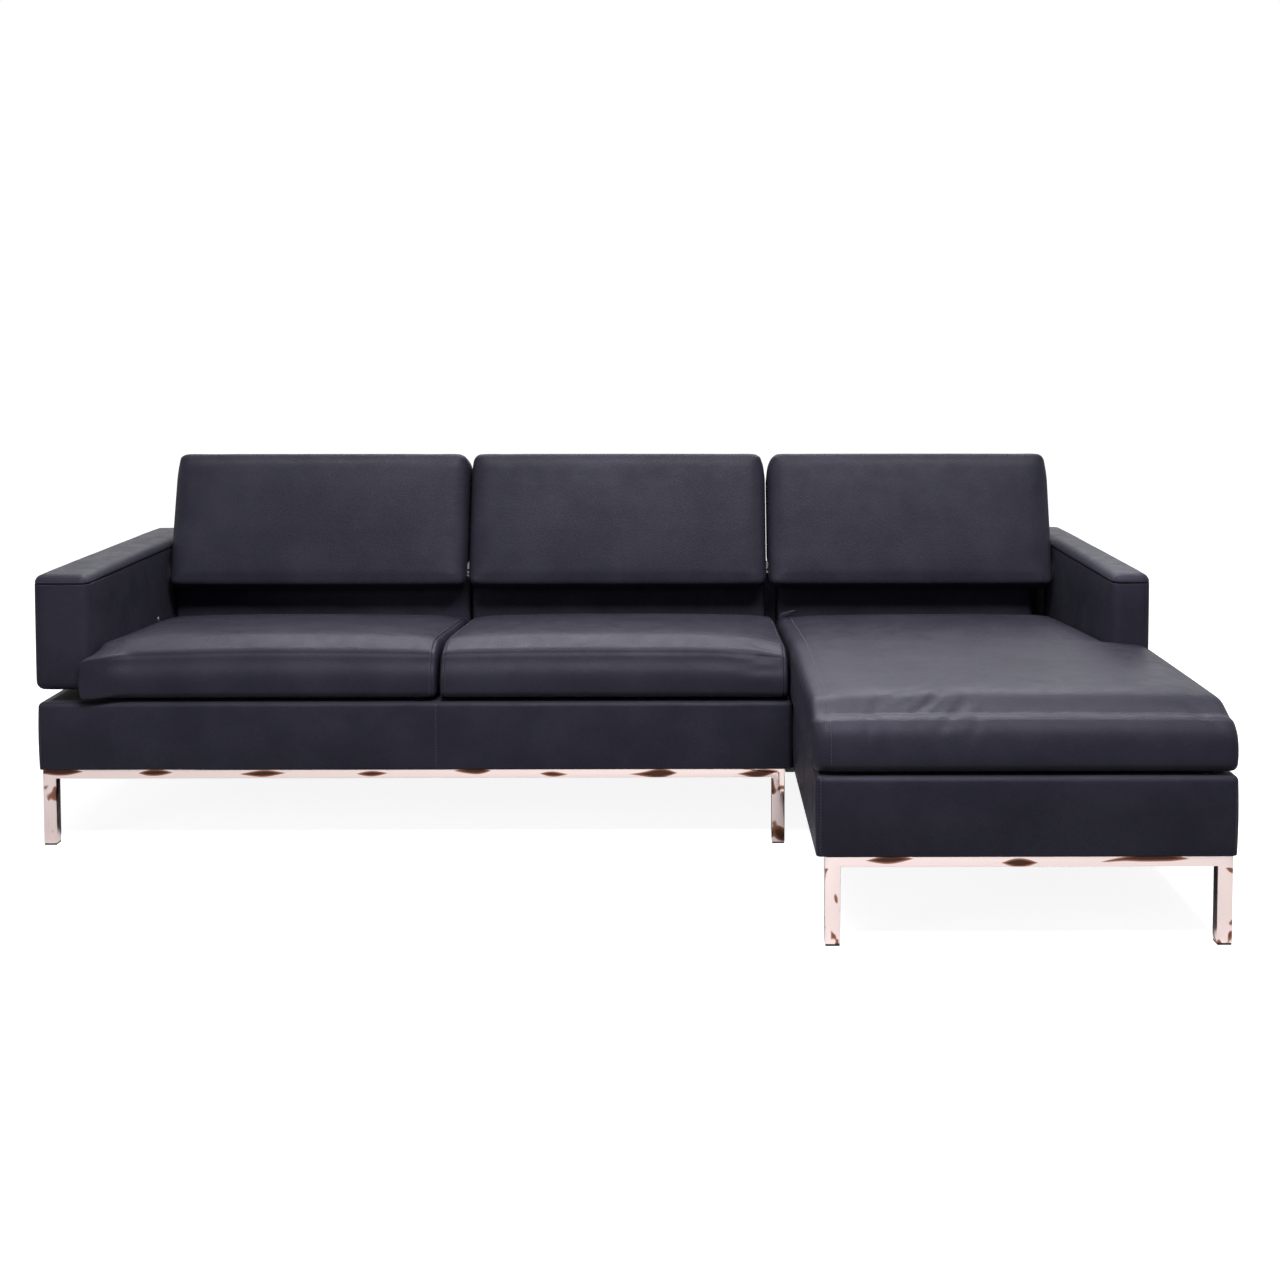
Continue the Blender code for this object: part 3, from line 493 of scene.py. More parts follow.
def metal_material(name, colour, brown, dark, roughness):
    """Polished plated tube, with dark reflections painted into its colour: long lens shapes on the rails, broken
    blots on the legs.
    """
    material, shader, graph = new_material(name, colour, roughness, 1.0)
    place = graph.add("ShaderNodeSeparateXYZ", {"Vector": graph.place}).outputs
    turn = graph.math("MULTIPLY", place["X"], math.tau / LENS_PITCH)
    drift = graph.math("MULTIPLY", graph.noise(1.0, 1.0, graph.stretched((2.6, 1.7, 0.0))), LENS_DRIFT)
    wave = graph.math("SINE", graph.math("ADD", turn, drift))
    uneven = graph.noise(1.0, 1.0, graph.stretched((9.0, 3.0, 0.0)))
    wave = graph.math("ADD", wave, graph.math("MULTIPLY", uneven, LENS_UNEVENNESS))
    slant = graph.noise(1.0, 0.0, graph.stretched((4.2, 4.2, 0.0)))
    slant = graph.spread(slant, 0.35, 0.65, -0.55, 0.25)
    height = graph.math("DIVIDE", graph.math("SUBTRACT", place["Z"], RAIL_MIDDLE), RAIL_HEIGHT / 2)
    away = graph.math("ABSOLUTE", graph.math("ADD", height, slant))
    lens = graph.math("SUBTRACT", graph.math("SUBTRACT", wave, LENS_THRESHOLD), away)
    rail_foot = (RAIL_MIDDLE - RAIL_HEIGHT * 0.62, RAIL_MIDDLE - RAIL_HEIGHT / 2)
    on_leg = graph.spread(place["Z"], *rail_foot, 1.0, 0.0)
    broken = graph.noise(1.0, 1.2, graph.stretched((30.0, 30.0, 19.0)), 0.45, 0.8)
    blot = graph.spread(broken, 0.48, 0.74, -0.33, 0.50)
    shape = graph.add("ShaderNodeMix", {0: on_leg, 2: lens, 3: blot}, data_type="FLOAT").outputs[0]
    # Painted reflections: brown rims and dark middles laid into the base colour along the lens and blot shapes
    base = graph.blend(graph.spread(shape, -0.05, 0.16, 0.0, 1.0), colour, brown)
    base = graph.blend(graph.spread(shape, 0.12, 0.50, 0.0, 0.9), base, dark)
    marks = graph.noise(1.0, 4.0, graph.stretched((60.0, 60.0, 420.0)))
    rough = graph.spread(marks, 0.3, 0.7, roughness * 0.7, roughness * 1.5)
    normal = graph.bump(graph.noise(14.0, 2.0), 0.12, 0.003)
    graph.fill(shader, {"Base Color": base, "Roughness": rough, "Normal": normal})
    return material


def steel_material():
    """Dark coated steel with a fine orange-peel surface."""
    material, shader, graph = new_material("coated_steel", (0.045, 0.045, 0.048), 0.42, 0.6)
    tone = graph.noise(18.0, 4.0)
    base = graph.blend(tone, (0.035, 0.035, 0.038), (0.075, 0.074, 0.076))
    rough = graph.spread(tone, 0.3, 0.7, 0.34, 0.52)
    normal = graph.bump(graph.noise(420.0, 2.0), 0.2, 0.0004)
    graph.fill(shader, {"Base Color": base, "Roughness": rough, "Normal": normal})
    return material


def board_material():
    """Plain board with long grain."""
    material, shader, graph = new_material("board", (0.50, 0.35, 0.20), 0.62)
    rings = graph.noise(1.0, 5.0, graph.stretched((3.0, 60.0, 60.0)), 0.6, 1.2)
    share = graph.spread(rings, 0.3, 0.7, 0.0, 1.0)
    base = graph.blend(share, (0.42, 0.28, 0.15), (0.60, 0.44, 0.27))
    graph.fill(shader, {"Base Color": base, "Normal": graph.bump(rings, 0.25, 0.0006)})
    return material


def lining_material():
    """Black woven lining."""
    material, shader, graph = new_material("lining", (0.028, 0.028, 0.030), 0.9)
    inputs = {"Scale": 260.0, "Distortion": 0.6, "Vector": graph.place}
    waves = [graph.add("ShaderNodeTexWave", inputs, bands_direction=way).outputs["Fac"] for way in "XY"]
    weave = graph.math("MULTIPLY", *waves)
    base = graph.blend(weave, (0.010, 0.010, 0.013), (0.028, 0.027, 0.033))
    graph.fill(shader, {"Base Color": base, "Normal": graph.bump(weave, 0.4, 0.0005)})
    return material


def plastic_material():
    """Black moulded plastic with a fine spark-eroded texture."""
    material, shader, graph = new_material("moulded_plastic", (0.020, 0.020, 0.022), 0.55)
    base = graph.blend(graph.noise(40.0, 3.0), (0.014, 0.014, 0.016), (0.034, 0.034, 0.036))
    normal = graph.bump(graph.noise(1500.0, 2.0), 0.25, 0.0002)
    graph.fill(shader, {"Base Color": base, "Normal": normal})
    return material


def thread_material():
    """Waxed thread in a tone lighter than the leather's: partly its own colour, partly a painted highlight for the
    light that the stitches catch.
    """
    material, shader, graph = new_material("thread", (0.07, 0.067, 0.085), 0.5)
    twist = graph.noise(1800.0, 1.0)
    base = graph.blend(twist, (0.050, 0.048, 0.062), (0.11, 0.106, 0.13))
    graph.fill(shader, {"Base Color": base, "Normal": graph.bump(twist, 0.4, 0.0002)})
    return material


def pin_material():
    """Satin nickel with fine turning marks."""
    material, shader, graph = new_material("satin_pin", (0.62, 0.61, 0.60), 0.34, 0.85)
    marks = graph.noise(1.0, 3.0, graph.stretched((60.0, 900.0, 900.0)))
    base = graph.blend(marks, (0.50, 0.49, 0.49), (0.70, 0.69, 0.68))
    rough = graph.spread(marks, 0.3, 0.7, 0.26, 0.42)
    normal = graph.bump(marks, 0.15, 0.0002)
    graph.fill(shader, {"Base Color": base, "Roughness": rough, "Normal": normal})
    return material


LEATHER = leather_material("leather", (0.0240, 0.0232, 0.0340), (0.0340, 0.0330, 0.0460))
# A lighter copy of the leather for the end strip: a painted highlight
PAINTED_LIGHT_LEATHER = leather_material("painted_light_leather", (0.060, 0.058, 0.070), (0.095, 0.092, 0.105))
ROSE_GOLD = metal_material("rose_gold", (0.87, 0.72, 0.66), PAINTED_REFLECTION_BROWN, PAINTED_REFLECTION_DARK, 0.07)
THREAD = thread_material()
LINING = lining_material()
PIN = pin_material()
LEATHER_WRAPPED = ("two_seat_back_frame", "chaise_back_frame")
BY_SLOT = {
    "leather": LEATHER,
    "rose_gold": ROSE_GOLD,
    "steel": steel_material(),
    "board": board_material(),
    "lining": LINING,
    "black_plastic": plastic_material(),
}


def dress_nodes():
    """Give every CAD node the material of its slot; the back's frames are wrapped in leather."""
    slots = {part["node"]: part["material_slot"] for part in frame["record"]["subparts"]}
    for name, node in frame["nodes"].items():
        material = LEATHER if name in LEATHER_WRAPPED else BY_SLOT[slots[name]]
        if not node.material_slots:
            node.data.materials.append(material)
        for place in node.material_slots:
            place.material = material


def finish_piece(piece, material, slot, body, *nodes):
    """Material, body and the CAD nodes that the piece stands for; the slot is not used."""
    piece.data.materials.clear()
    piece.data.materials.append(material)
    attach(piece, body)
    if nodes:
        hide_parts(*nodes)


# ---- forms ----------------------------------------------------------------------------------------


def inner_lines(start, run, spacing, extra):
    """Even grid lines over a run and the extra ones, without even ones that lie too near to those."""
    count = max(int(run / spacing), 1)
    even = [start + run * index / count for index in range(1, count)]
    kept = [line for line in even if all(abs(line - other) > spacing / 2 for other in extra)]
    return kept + list(extra)


def lines_between(low, high, radius, spacing, extra=()):
    """Grid lines from low to high: a few across each rounded edge, and even ones between."""
    shares = (0, 0.13, 0.42, 0.75, 1)
    lines = [low + share * radius for share in shares]
    lines += [high - share * radius for share in shares]
    return sorted(lines + inner_lines(low + radius, high - low - 2 * radius, spacing, extra))


def round_lines(low, high, low_reach, high_reach, spacing, extra=()):
    """Grid lines from low to high that are close together on the rounded ends."""
    turns = [1 - math.cos(math.pi / 2 * index / ROUND_STEPS) for index in range(ROUND_STEPS + 1)]
    lines = [low + low_reach * turn for turn in turns]
    lines += [high - high_reach * turn for turn in turns]
    start = low + low_reach
    return sorted(lines + inner_lines(start, high - high_reach - start, spacing, extra))


def beside(places, pitch):
    """Five grid lines at and beside each place, so that a seam finds points to press in."""
    return [place + pitch * count for place in places for count in (-2, -1, 0, 1, 2)]


def centred(points, low, high):
    """Where the points lie in a box along each axis, from -1 to 1."""
    return ((2 * points - np.array(low) - np.array(high)) / (np.array(high) - np.array(low))).T


def lattice_box(name, lines, radius, open_below=False):
    """A box on grid lines along each axis, with its edges drawn round."""
    counts = [len(line) - 1 for line in lines]
    low = np.array([line[0] for line in lines])
    high = np.array([line[-1] for line in lines])
    shape = bmesh.new()
    corners = {}

    def corner(spot):
        if spot not in corners:
            place = np.array([lines[axis][spot[axis]] for axis in range(3)])
            kept = np.clip(place, low + radius, high - radius)
            away = place - kept
            length = np.linalg.norm(away)
            if length > 0:
                place = kept + away / length * min(radius, np.abs(away).max())
            corners[spot] = shape.verts.new(place)
        return corners[spot]

    for axis in range(3):
        first, second = [other for other in range(3) if other != axis]
        for end in (0, counts[axis]):
            if open_below and axis == 2 and end == 0:
                continue
            for row in range(counts[first]):
                for column in range(counts[second]):
                    spots = []
                    for step_row, step_column in ((0, 0), (1, 0), (1, 1), (0, 1)):
                        spot = [0, 0, 0]
                        spot[axis] = end
                        spot[first] = row + step_row
                        spot[second] = column + step_column
                        spots.append(corner(tuple(spot)))
                    shape.faces.new(spots)
    return from_bmesh(name, shape)


def rounded_box(name, low, high, radius, spacings, extra=((), (), ())):
    """A box with round edges and its own line spacing along each axis."""
    axes = zip(low, high, spacings, extra)
    lines = [lines_between(start, end, radius, spacing, more) for start, end, spacing, more in axes]
    return lattice_box(name, lines, radius)


def ripple(points, size, seed):
    """Smooth uneven values from -1 to 1 over the points, the same on each run."""
    source = np.random.default_rng(seed)
    total = np.zeros(len(points))
    for octave in range(5):
        turn = source.normal(size=3)
        turn = turn / np.linalg.norm(turn) / size * (1.0 + 0.45 * octave) * math.tau
        total += np.sin(points @ turn + source.uniform(0, math.tau)) / (1 + 0.4 * octave)
    return total / 2.6


def resample(path, normals, pitch):
    """Points and normals at an even pitch along a path."""
    places = np.array(path, float)
    facing = np.array(normals, float)
    lengths = np.linalg.norm(np.diff(places, axis=0), axis=1)
    run = np.concatenate([[0], np.cumsum(lengths)])
    count = max(int(run[-1] / pitch), 2)
    marks = np.linspace(0, run[-1], count)
    even = np.stack([np.interp(marks, run, places[:, axis]) for axis in range(3)], 1)
    turned = np.stack([np.interp(marks, run, facing[:, axis]) for axis in range(3)], 1)
    turned /= np.linalg.norm(turned, axis=1, keepdims=True)
    return even, turned


def join_rings(shape, rings):
    """Faces from each ring of points to the next, and one over each end."""
    for ring, following in zip(rings, rings[1:]):
        for turn in range(len(ring)):
            ahead = (turn + 1) % len(ring)
            shape.faces.new((ring[turn], ring[ahead], following[ahead], following[turn]))
    shape.faces.new(rings[0])
    shape.faces.new(rings[-1])


def add_stitches(shape, path, normals, side_shift):
    """Short thread stitches along a path, each a small tapered bar that sits on the surface."""
    places, facing = resample(path, normals, STITCH_PITCH)
    for index in range(len(places) - 1):
        along = Vector(places[index + 1] - places[index]).normalized()
        up = Vector(facing[index])
        up = (up - along * up.dot(along)).normalized()
        side = along.cross(up)
        middle = Vector((places[index] + places[index + 1]) / 2) + side * side_shift
        rings = []
        for share, thick, lift in STITCH_RINGS:
            centre = middle + along * (share * STITCH_LENGTH / 2) + up * (lift * STITCH_RADIUS)
            ring = []
            for turn in range(4):
                angle = math.tau * (turn + 0.5) / 4
                away = (side * math.cos(angle) + up * math.sin(angle)) * STITCH_RADIUS * thick
                ring.append(shape.verts.new(centre + away))
            rings.append(ring)
        join_rings(shape, rings)


def gaps_to(line, points):
    """How far each point is from the nearest mark of a line, and which mark that is."""
    gaps = np.linalg.norm(points[:, None, :] - line[None, :, :], axis=2)
    return gaps.min(1), gaps.argmin(1)


class Seams:
    """The seams of one body: grooves pressed into its pieces, with stitches beside them."""

    def __init__(self, name, body):
        self.name = name
        self.body = body
        self.stitches = bmesh.new()

    def press(self, piece, path, width, depth):
        """Press a groove into the piece along the path."""
        points = points_of(piece)
        normals = normals_of(piece)
        line, _ = resample(path, np.ones((len(path), 3)), GROOVE_STEP)
        low = line.min(0) - width
        high = line.max(0) + width
        near = np.nonzero(np.all((points > low) & (points < high), axis=1))[0]
        for start in range(0, len(near), GROOVE_BATCH):
            part = near[start : start + GROOVE_BATCH]
            away, _ = gaps_to(line, points[part])
            push = np.clip(1 - away / width, 0, 1) ** 2 * depth
            points[part] -= normals[part] * push[:, None]
        set_points(piece, points)

    def sew(self, piece, path, normals, rows, width, depth):
        """One seam: a groove, and rows of stitches at the given shifts to its side."""
        self.press(piece, path, width, depth)
        places, facing = resample(path, normals, SEAM_STEP)
        for shift in rows:
            share = max(1 - abs(shift) / width, 0) ** 2
            low = places - facing * (depth * share)
            add_stitches(self.stitches, low, facing, shift)

    def done(self):
        """Make the stitches one piece that rides on the body."""
        made = smooth(from_bmesh(self.name, self.stitches))
        finish_piece(made, THREAD, "leather", self.body)


def surface_path(piece, starts, aims):
    """Where rays from the starts towards the aims meet the piece, with its normals there."""
    tree = tree_of(piece)
    places = []
    normals = []
    for start, aim in zip(starts, aims):
        hit, normal, _, _ = tree.ray_cast(Vector(start), (Vector(aim) - Vector(start)).normalized())
        if hit is not None:
            places.append(tuple(hit))
            normals.append(tuple(normal))
    return places, normals


def slice_rays(across, low, high):
    """Rays onto the top and front of a cushion in one upright slice, from its rear to its front foot."""
    middle = (low.z + high.z) / 2
    rear = high.y - 0.02
    front = low.y + SLICE_DEPTH
    starts = []
    aims = []
    for share in np.linspace(0, 1, 60):
        along = rear + (front - rear) * share
        starts.append((across, along, high.z + SLICE_REACH))
        aims.append((across, along, middle))
    turn_count = 14
    for index in range(1, turn_count):
        angle = math.pi / 2 * index / turn_count
        away = Vector((0, -math.sin(angle), math.cos(angle))) * 2 * SLICE_REACH
        centre = Vector((across, front, middle))
        starts.append(tuple(centre + away))
        aims.append(tuple(centre))
    for height in np.linspace(middle, low.z + 0.004, 8):
        starts.append((across, low.y - SLICE_REACH, height))
        aims.append((across, front, height))
    return starts, aims


# ---- soft pieces ----------------------------------------------------------------------------------


def evened(piece, values, rounds):
    """The values, averaged with those of neighbouring points a number of times."""
    ends = np.zeros(len(piece.data.edges) * 2, int)
    piece.data.edges.foreach_get("vertices", ends)
    first, second = ends.reshape(-1, 2).T
    size = len(values)
    count = np.maximum(np.bincount(first, minlength=size) + np.bincount(second, minlength=size), 1)
    for _ in range(rounds):
        around = np.bincount(first, values[second], size) + np.bincount(second, values[first], size)
        values = 0.5 * values + 0.5 * around / count
    return values


def limit(piece, start, normals, out_cap, in_cap, rounds):
    """Keep the swelling's soft crown and dents, and limit how far they go out and in."""
    out = ((points_of(piece) - start) * normals).sum(1)
    out = np.where(out > 0, out_cap * np.tanh(out / out_cap), -in_cap * np.tanh(-out / in_cap))
    out = evened(piece, out, rounds)
    set_points(piece, start + normals * out[:, None])


def nose_outline(low, high, reach):
    """The lattice's own slice before reach: distances behind its front, and shares of its height."""
    height = high.z - low.z
    turns = [math.pi / 2 * index / 8 for index in range(9)]
    radius = SEAT_CORNER
    curve = [(radius * (1 - math.sin(turn)), radius * (1 - math.cos(turn)) / height) for turn in turns]
    above = [(behind, 1 - share) for behind, share in curve]
    return [(reach, 1.0), *above, *reversed(curve), (reach, 0.0)]


def shape_nose(points, low, high, nose, reach, ahead):
    """Move the points before reach so that the lattice's slice takes the drawn slice's outline."""
    height = high.z - low.z
    slices = []
    for outline in (nose_outline(low, high, reach), nose):
        behind, share = np.array(outline).T
        across = reach - behind
        up = (share - 0.5) * height
        angle = np.arctan2(up, across)
        order = np.argsort(angle)
        slices.append((angle[order], np.hypot(across, up)[order]))
    across = low.y + reach - points[:, 1]
    up = points[:, 2] - (low.z + height / 2)
    angle = np.arctan2(up, across)
    grown = np.interp(angle, *slices[1]) / np.interp(angle, *slices[0])
    inside = across > 0
    forward = low.y + reach - across * grown - ahead * step(across, 0, reach)
    points[:, 1] = np.where(inside, forward, points[:, 1])
    points[:, 2] = np.where(inside, low.z + height / 2 + up * grown, points[:, 2])


def seat_form(node, name, nose, ahead, left, right, raised, extra=(), narrow=(math.inf, 0.0)):
    """A seat cushion on even grid lines: the CAD solid's top, a drawn nose, rounded sides and rear.

    left and right give how far the rounding reaches in and how far it comes down.
    Behind narrow's first value the CAD solid only reaches to its second.
    """
    reach = nose[0][0]
    rear = SEAT_REAR
    low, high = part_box(node)
    tree = tree_of(frame["nodes"][node])
    lines = (
        round_lines(low.x, high.x, left[0], right[0], SEAT_SPACING),
        round_lines(low.y, high.y, reach, rear[0], SEAT_SPACING, extra),
        lines_between(low.z, high.z, SEAT_CORNER, SEAT_SPACING),
    )
    piece = lattice_box(name, lines, SEAT_CORNER)
    points = points_of(piece)
    shape_nose(points, low, high, nose, reach, ahead)
    x, y, z = points.T
    top = np.zeros(len(points))
    right_end = np.where(y > narrow[0], narrow[1], high.x)
    inner_x = np.clip(x, low.x + TOP_INSET, right_end - TOP_INSET)
    inner_y = np.clip(y, low.y + reach * 0.75, high.y - rear[0])
    heights = {}
    for index, spot in enumerate(zip(np.round(inner_x, 4), np.round(inner_y, 4))):
        if spot not in heights:
            hit = height_at(tree, *spot, high.z + PROBE_RISE)
            heights[spot] = high.z if hit is None else hit.z
        top[index] = heights[spot]
    top += raised * (1 - step(y, low.y + RAISED_FROM, low.y + RAISED_TO))
    behind = np.clip(1 - (high.y - y) / rear[0], 0, 1)
    on_left = np.clip(1 - (x - low.x) / left[0], 0, 1)
    on_right = np.clip(1 - (high.x - x) / right[0], 0, 1)
    total = np.minimum(np.sqrt(behind**2 + on_left**2 + on_right**2), 1)
    weights = np.stack([behind, on_left, on_right]) ** 2 + 1e-9
    drops = np.array([rear[1], left[1], right[1]])[:, None]
    drop = (weights * drops).sum(0) / weights.sum(0) * (1 - np.sqrt(1 - total**2))
    share = np.clip((z - low.z) / (high.z - low.z), 0, 1)
    points[:, 2] = low.z + share * (top - drop - low.z)
    return piece, points, share


def seat_done(piece, points):
    """Set the points of a seat cushion and hold its foot for the cloth run."""
    set_points(piece, points)
    low = points[:, 2].min()
    hold(piece, 1 - step(points[:, 2], low + 0.004, low + 0.020))
    return smooth(piece)


def left_seat_start():
    """The left seat cushion: its outer end lies lower and stands out past the arm's front."""
    low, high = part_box("left_seat_cushion")
    sizes = (SEAT_AHEAD, (0.018, 0.004), (0.022, 0.016), SEAT_RAISED)
    piece, points, share = seat_form("left_seat_cushion", "left_seat", SEAT_NOSE, *sizes)
    x, y, _ = points.T
    forward = 1 - step(y, -0.02, high.y - 0.06)
    outer = 1 - step(x, low.x - 0.12, low.x + 0.42)
    points[:, 2] -= LEFT_END_DROP * share * outer * forward
    arm_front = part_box("left_arm_cover")[0].y - ARM_ROOM
    near_end = 1 - step(x, low.x, low.x + LEFT_END_RUN)
    level = step(share, 0.06, 0.16) * (1 - step(share, 0.84, 0.94))
    level *= 1 - step(y, low.y + 0.038, low.y + 0.052)
    points[:, 1] -= near_end * level * np.maximum(y - low.y + 0.005, 0)
    past_arm = 1 - step(y, arm_front - 0.008, arm_front)
    round_end = 0.6 + 0.4 * np.sin(np.pi * share)
    points[:, 0] -= LEFT_END_REACH * past_arm * (1 - step(x, low.x, low.x + 0.05)) * round_end
    points[:, 2] -= LEFT_END_DROP * past_arm * (1 - step(x, low.x, low.x + 0.12)) * (1 - share)
    return seat_done(piece, points)


def middle_seat_start():
    """The middle seat cushion, a little lower at its right front corner."""
    _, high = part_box("middle_seat_cushion")
    sizes = (SEAT_AHEAD, (0.022, 0.016), (0.022, 0.018), SEAT_RAISED)
    piece, points, share = seat_form("middle_seat_cushion", "middle_seat", SEAT_NOSE, *sizes)
    x, y, _ = points.T
    forward = 1 - step(y, -0.02, high.y - 0.06)
    points[:, 2] -= MIDDLE_END_DROP * share * step(x, high.x - 0.20, high.x + 0.02) * forward
    return seat_done(piece, points)


def chaise_seat_start():
    """The chaise cushion: full, rounded down at its front, and cut out round the right arm."""
    low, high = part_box("chaise_cushion")
    arm_low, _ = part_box("right_arm_cover")
    notch = arm_low.y - 0.0055
    extra = (notch - 0.006, notch - 0.003, notch, notch + 0.003)
    sizes = (CHAISE_AHEAD, (0.026, 0.018), (0.026, 0.016), 0, extra, (notch - 0.012, arm_low.x))
    piece, points, share = seat_form("chaise_cushion", "chaise_seat", CHAISE_NOSE, *sizes)
    x, y, _ = points.T
    full = np.sin(np.pi * share) * step(x, high.x - 0.03, high.x) * (1 - step(y, notch - 0.06, notch))
    points[:, 0] += CHAISE_FULLNESS * full
    front = 1 - step(y, low.y + 0.01, low.y + 0.10)
    for inward, (run, depth) in ((x - low.x, CHAISE_LEFT_CORNER), (high.x - x, CHAISE_RIGHT_CORNER)):
        end = np.clip(1 - inward / run, 0, 1)
        points[:, 1] += front * depth * (1 - np.sqrt(1 - end**2))
    beside_arm = step(y, notch - 0.008, notch) * step(x, high.x - 0.34, high.x - 0.004)
    points[:, 0] -= (high.x - arm_low.x + 0.0006) * beside_arm
    return seat_done(piece, points)


def pad_local(side, points, back=False):
    """Turn points into the pad's own upright frame at its hinge axis, or back again."""
    hinge = next(joint for joint in frame["joints"] if joint["child"] == f"{side}_pad")["pos_m"]
    turn = np.array(Matrix.Rotation(-PAD_LEAN, 3, "X"))
    if back:
        return points @ turn.T + np.array(hinge)
    return (points - np.array(hinge)) @ turn


def squared(first, second, reach, power):
    """How far to bring a round edge out along two directions so that it becomes squarer."""
    turn = np.hypot(first, second) + 1e-9
    norm = (np.abs(first / turn) ** power + np.abs(second / turn) ** power) ** (1 / power)
    grown = np.where((first > 0) & (second > 0), 1 / norm - 1, 0) * reach
    return grown * np.clip(first, 0, 1), grown * np.clip(second, 0, 1)


def pad_start(side):
    """A back pad before it swells, with its rear brought out over the plate and its sides full."""
    node = f"{side}_back_pad"
    piece = add_piece(f"{side}_pad_cushion", frame["nodes"][node].data.copy())
    local = pad_local(side, points_of(piece))
    over_plate = (local[:, 1] > local[:, 1].max() - 0.004) * step(local[:, 2], 0.012, 0.03)
    local[:, 1] += over_plate * PAD_REAR_PADDING
    set_points(piece, pad_local(side, local, back=True))
    modify(piece, "REMESH", mode="VOXEL", voxel_size=PAD_VOXEL)
    relax(piece, RELAX_ROUNDS)
    local = pad_local(side, points_of(piece))
    low = local.min(0)
    high = local.max(0)
    half = (high[0] - low[0]) / 2
    ahead = (low[1] + LIP_REACH - local[:, 1]) / LIP_REACH
    below = (low[2] + LIP_REACH - local[:, 2]) / LIP_REACH
    grown, down = squared(ahead, below, LIP_REACH, LIP_SQUARENESS)
    local[:, 1] -= grown
    local[:, 2] -= down
    ahead = (low[1] + PAD_FACE_CROWN + PAD_TOP_REACH - local[:, 1]) / PAD_TOP_REACH
    above = (local[:, 2] - high[2] + PAD_TOP_REACH) / PAD_TOP_REACH
    grown, up = squared(ahead, above, PAD_TOP_REACH, PAD_TOP_SQUARENESS)
    local[:, 1] -= grown
    local[:, 2] = np.minimum(local[:, 2] + up, high[2] - PAD_TOP_LIMIT)
    box_low, box_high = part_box(node)
    _, deep, tall = np.clip((local - low) / (high - low), 0, 1).T
    edge = (local[:, 0] - (high[0] + low[0]) / 2) / half
    fullness = np.where(edge > 0, PAD_FULLNESS[side][1], PAD_FULLNESS[side][0])
    ramp = 0.3 - 0.22 * (1 - step(tall, 0.18, 0.35))
    fullness *= step(deep, 0, ramp) * step(1 - deep, 0, 0.2) * step(1 - tall, 0.04, 0.2)
    full = (box_high.x - box_low.x) / 2 - half + fullness
    local[:, 0] += np.sign(edge) * step(np.abs(edge), 0.80, 1) * full
    set_points(piece, pad_local(side, local, back=True))
    return piece


def swell(tasks):
    """Swell the pieces and limit how far each one moved."""
    starts = [(points_of(piece), normals_of(piece)) for piece, _ in tasks]
    inflate([piece for piece, _ in tasks])
    for (piece, caps), (start, normals) in zip(tasks, starts):
        limit(piece, start, normals, *caps)


def build_seats():
    """The seat cushions and back pads, swollen together."""
    seats = (left_seat_start(), middle_seat_start(), chaise_seat_start())
    pads = {side: pad_start(side) for side in SIDES}
    swell([(piece, SEAT_CAPS) for piece in seats] + [(piece, PAD_CAPS) for piece in pads.values()])
    for piece in seats:
        relax(piece, SEAT_RELAX_ROUNDS)
    return seats, pads


def fit_seats(left, middle, chaise):
    """Keep the seat cushions clear of each other, of the arms and of the back, flat where they press."""
    for piece, node, out_left, out_right in (
        (left, "left_seat_cushion", OUT_LEFT, 0),
        (middle, "middle_seat_cushion", 0, 0),
        (chaise, "chaise_cushion", 0, OUT_RIGHT),
    ):
        low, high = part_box(node)
        points = points_of(piece)
        points[:, 1] = np.clip(points[:, 1], low.y - OUT_FRONT, high.y)
        points[:, 0] = np.clip(points[:, 0], low.x - out_left, high.x + out_right)
        points[:, 2] = np.maximum(points[:, 2], low.z - OUT_BELOW)
        set_points(piece, points)
    arm_low, arm_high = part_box("left_arm_cover")
    points = points_of(left)
    behind = points[:, 1] > arm_low.y - ARM_ROOM
    points[behind, 0] = np.maximum(points[behind, 0], arm_high.x + ARM_TOUCH)
    points[behind, 2] = np.maximum(points[behind, 2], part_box("left_seat_cushion")[0].z)
    set_points(left, points)
    arm_low, arm_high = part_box("right_arm_cover")
    points = points_of(chaise)
    behind = points[:, 1] > arm_low.y - ARM_ROOM
    points[behind, 0] = np.minimum(points[behind, 0], arm_low.x - ARM_TOUCH)
    set_points(chaise, points)


def fold(piece, start, end, width, depth):
    """A soft fold across the top or front of a cushion, from one point above it to another."""
    shares = np.linspace(0, 1, 14)
    tree = tree_of(piece)
    line = np.array([tree.find_nearest(Vector(start).lerp(Vector(end), share))[0] for share in shares])
    points = points_of(piece)
    normals = normals_of(piece)
    inside = (points > line.min(0) - 3 * width) & (points < line.max(0) + 3 * width)
    near = np.nonzero(np.all(inside, axis=1))[0]
    away, marks = gaps_to(line, points[near])
    away = away / width
    taper = np.sin(np.pi * np.clip(shares[marks], 0.02, 0.98)) ** 0.8
    shape = np.exp(-(away**2)) - 0.45 * np.exp(-((away - 1.5) ** 2) * 1.4)
    points[near] -= normals[near] * (depth * taper * shape)[:, None]
    set_points(piece, points)


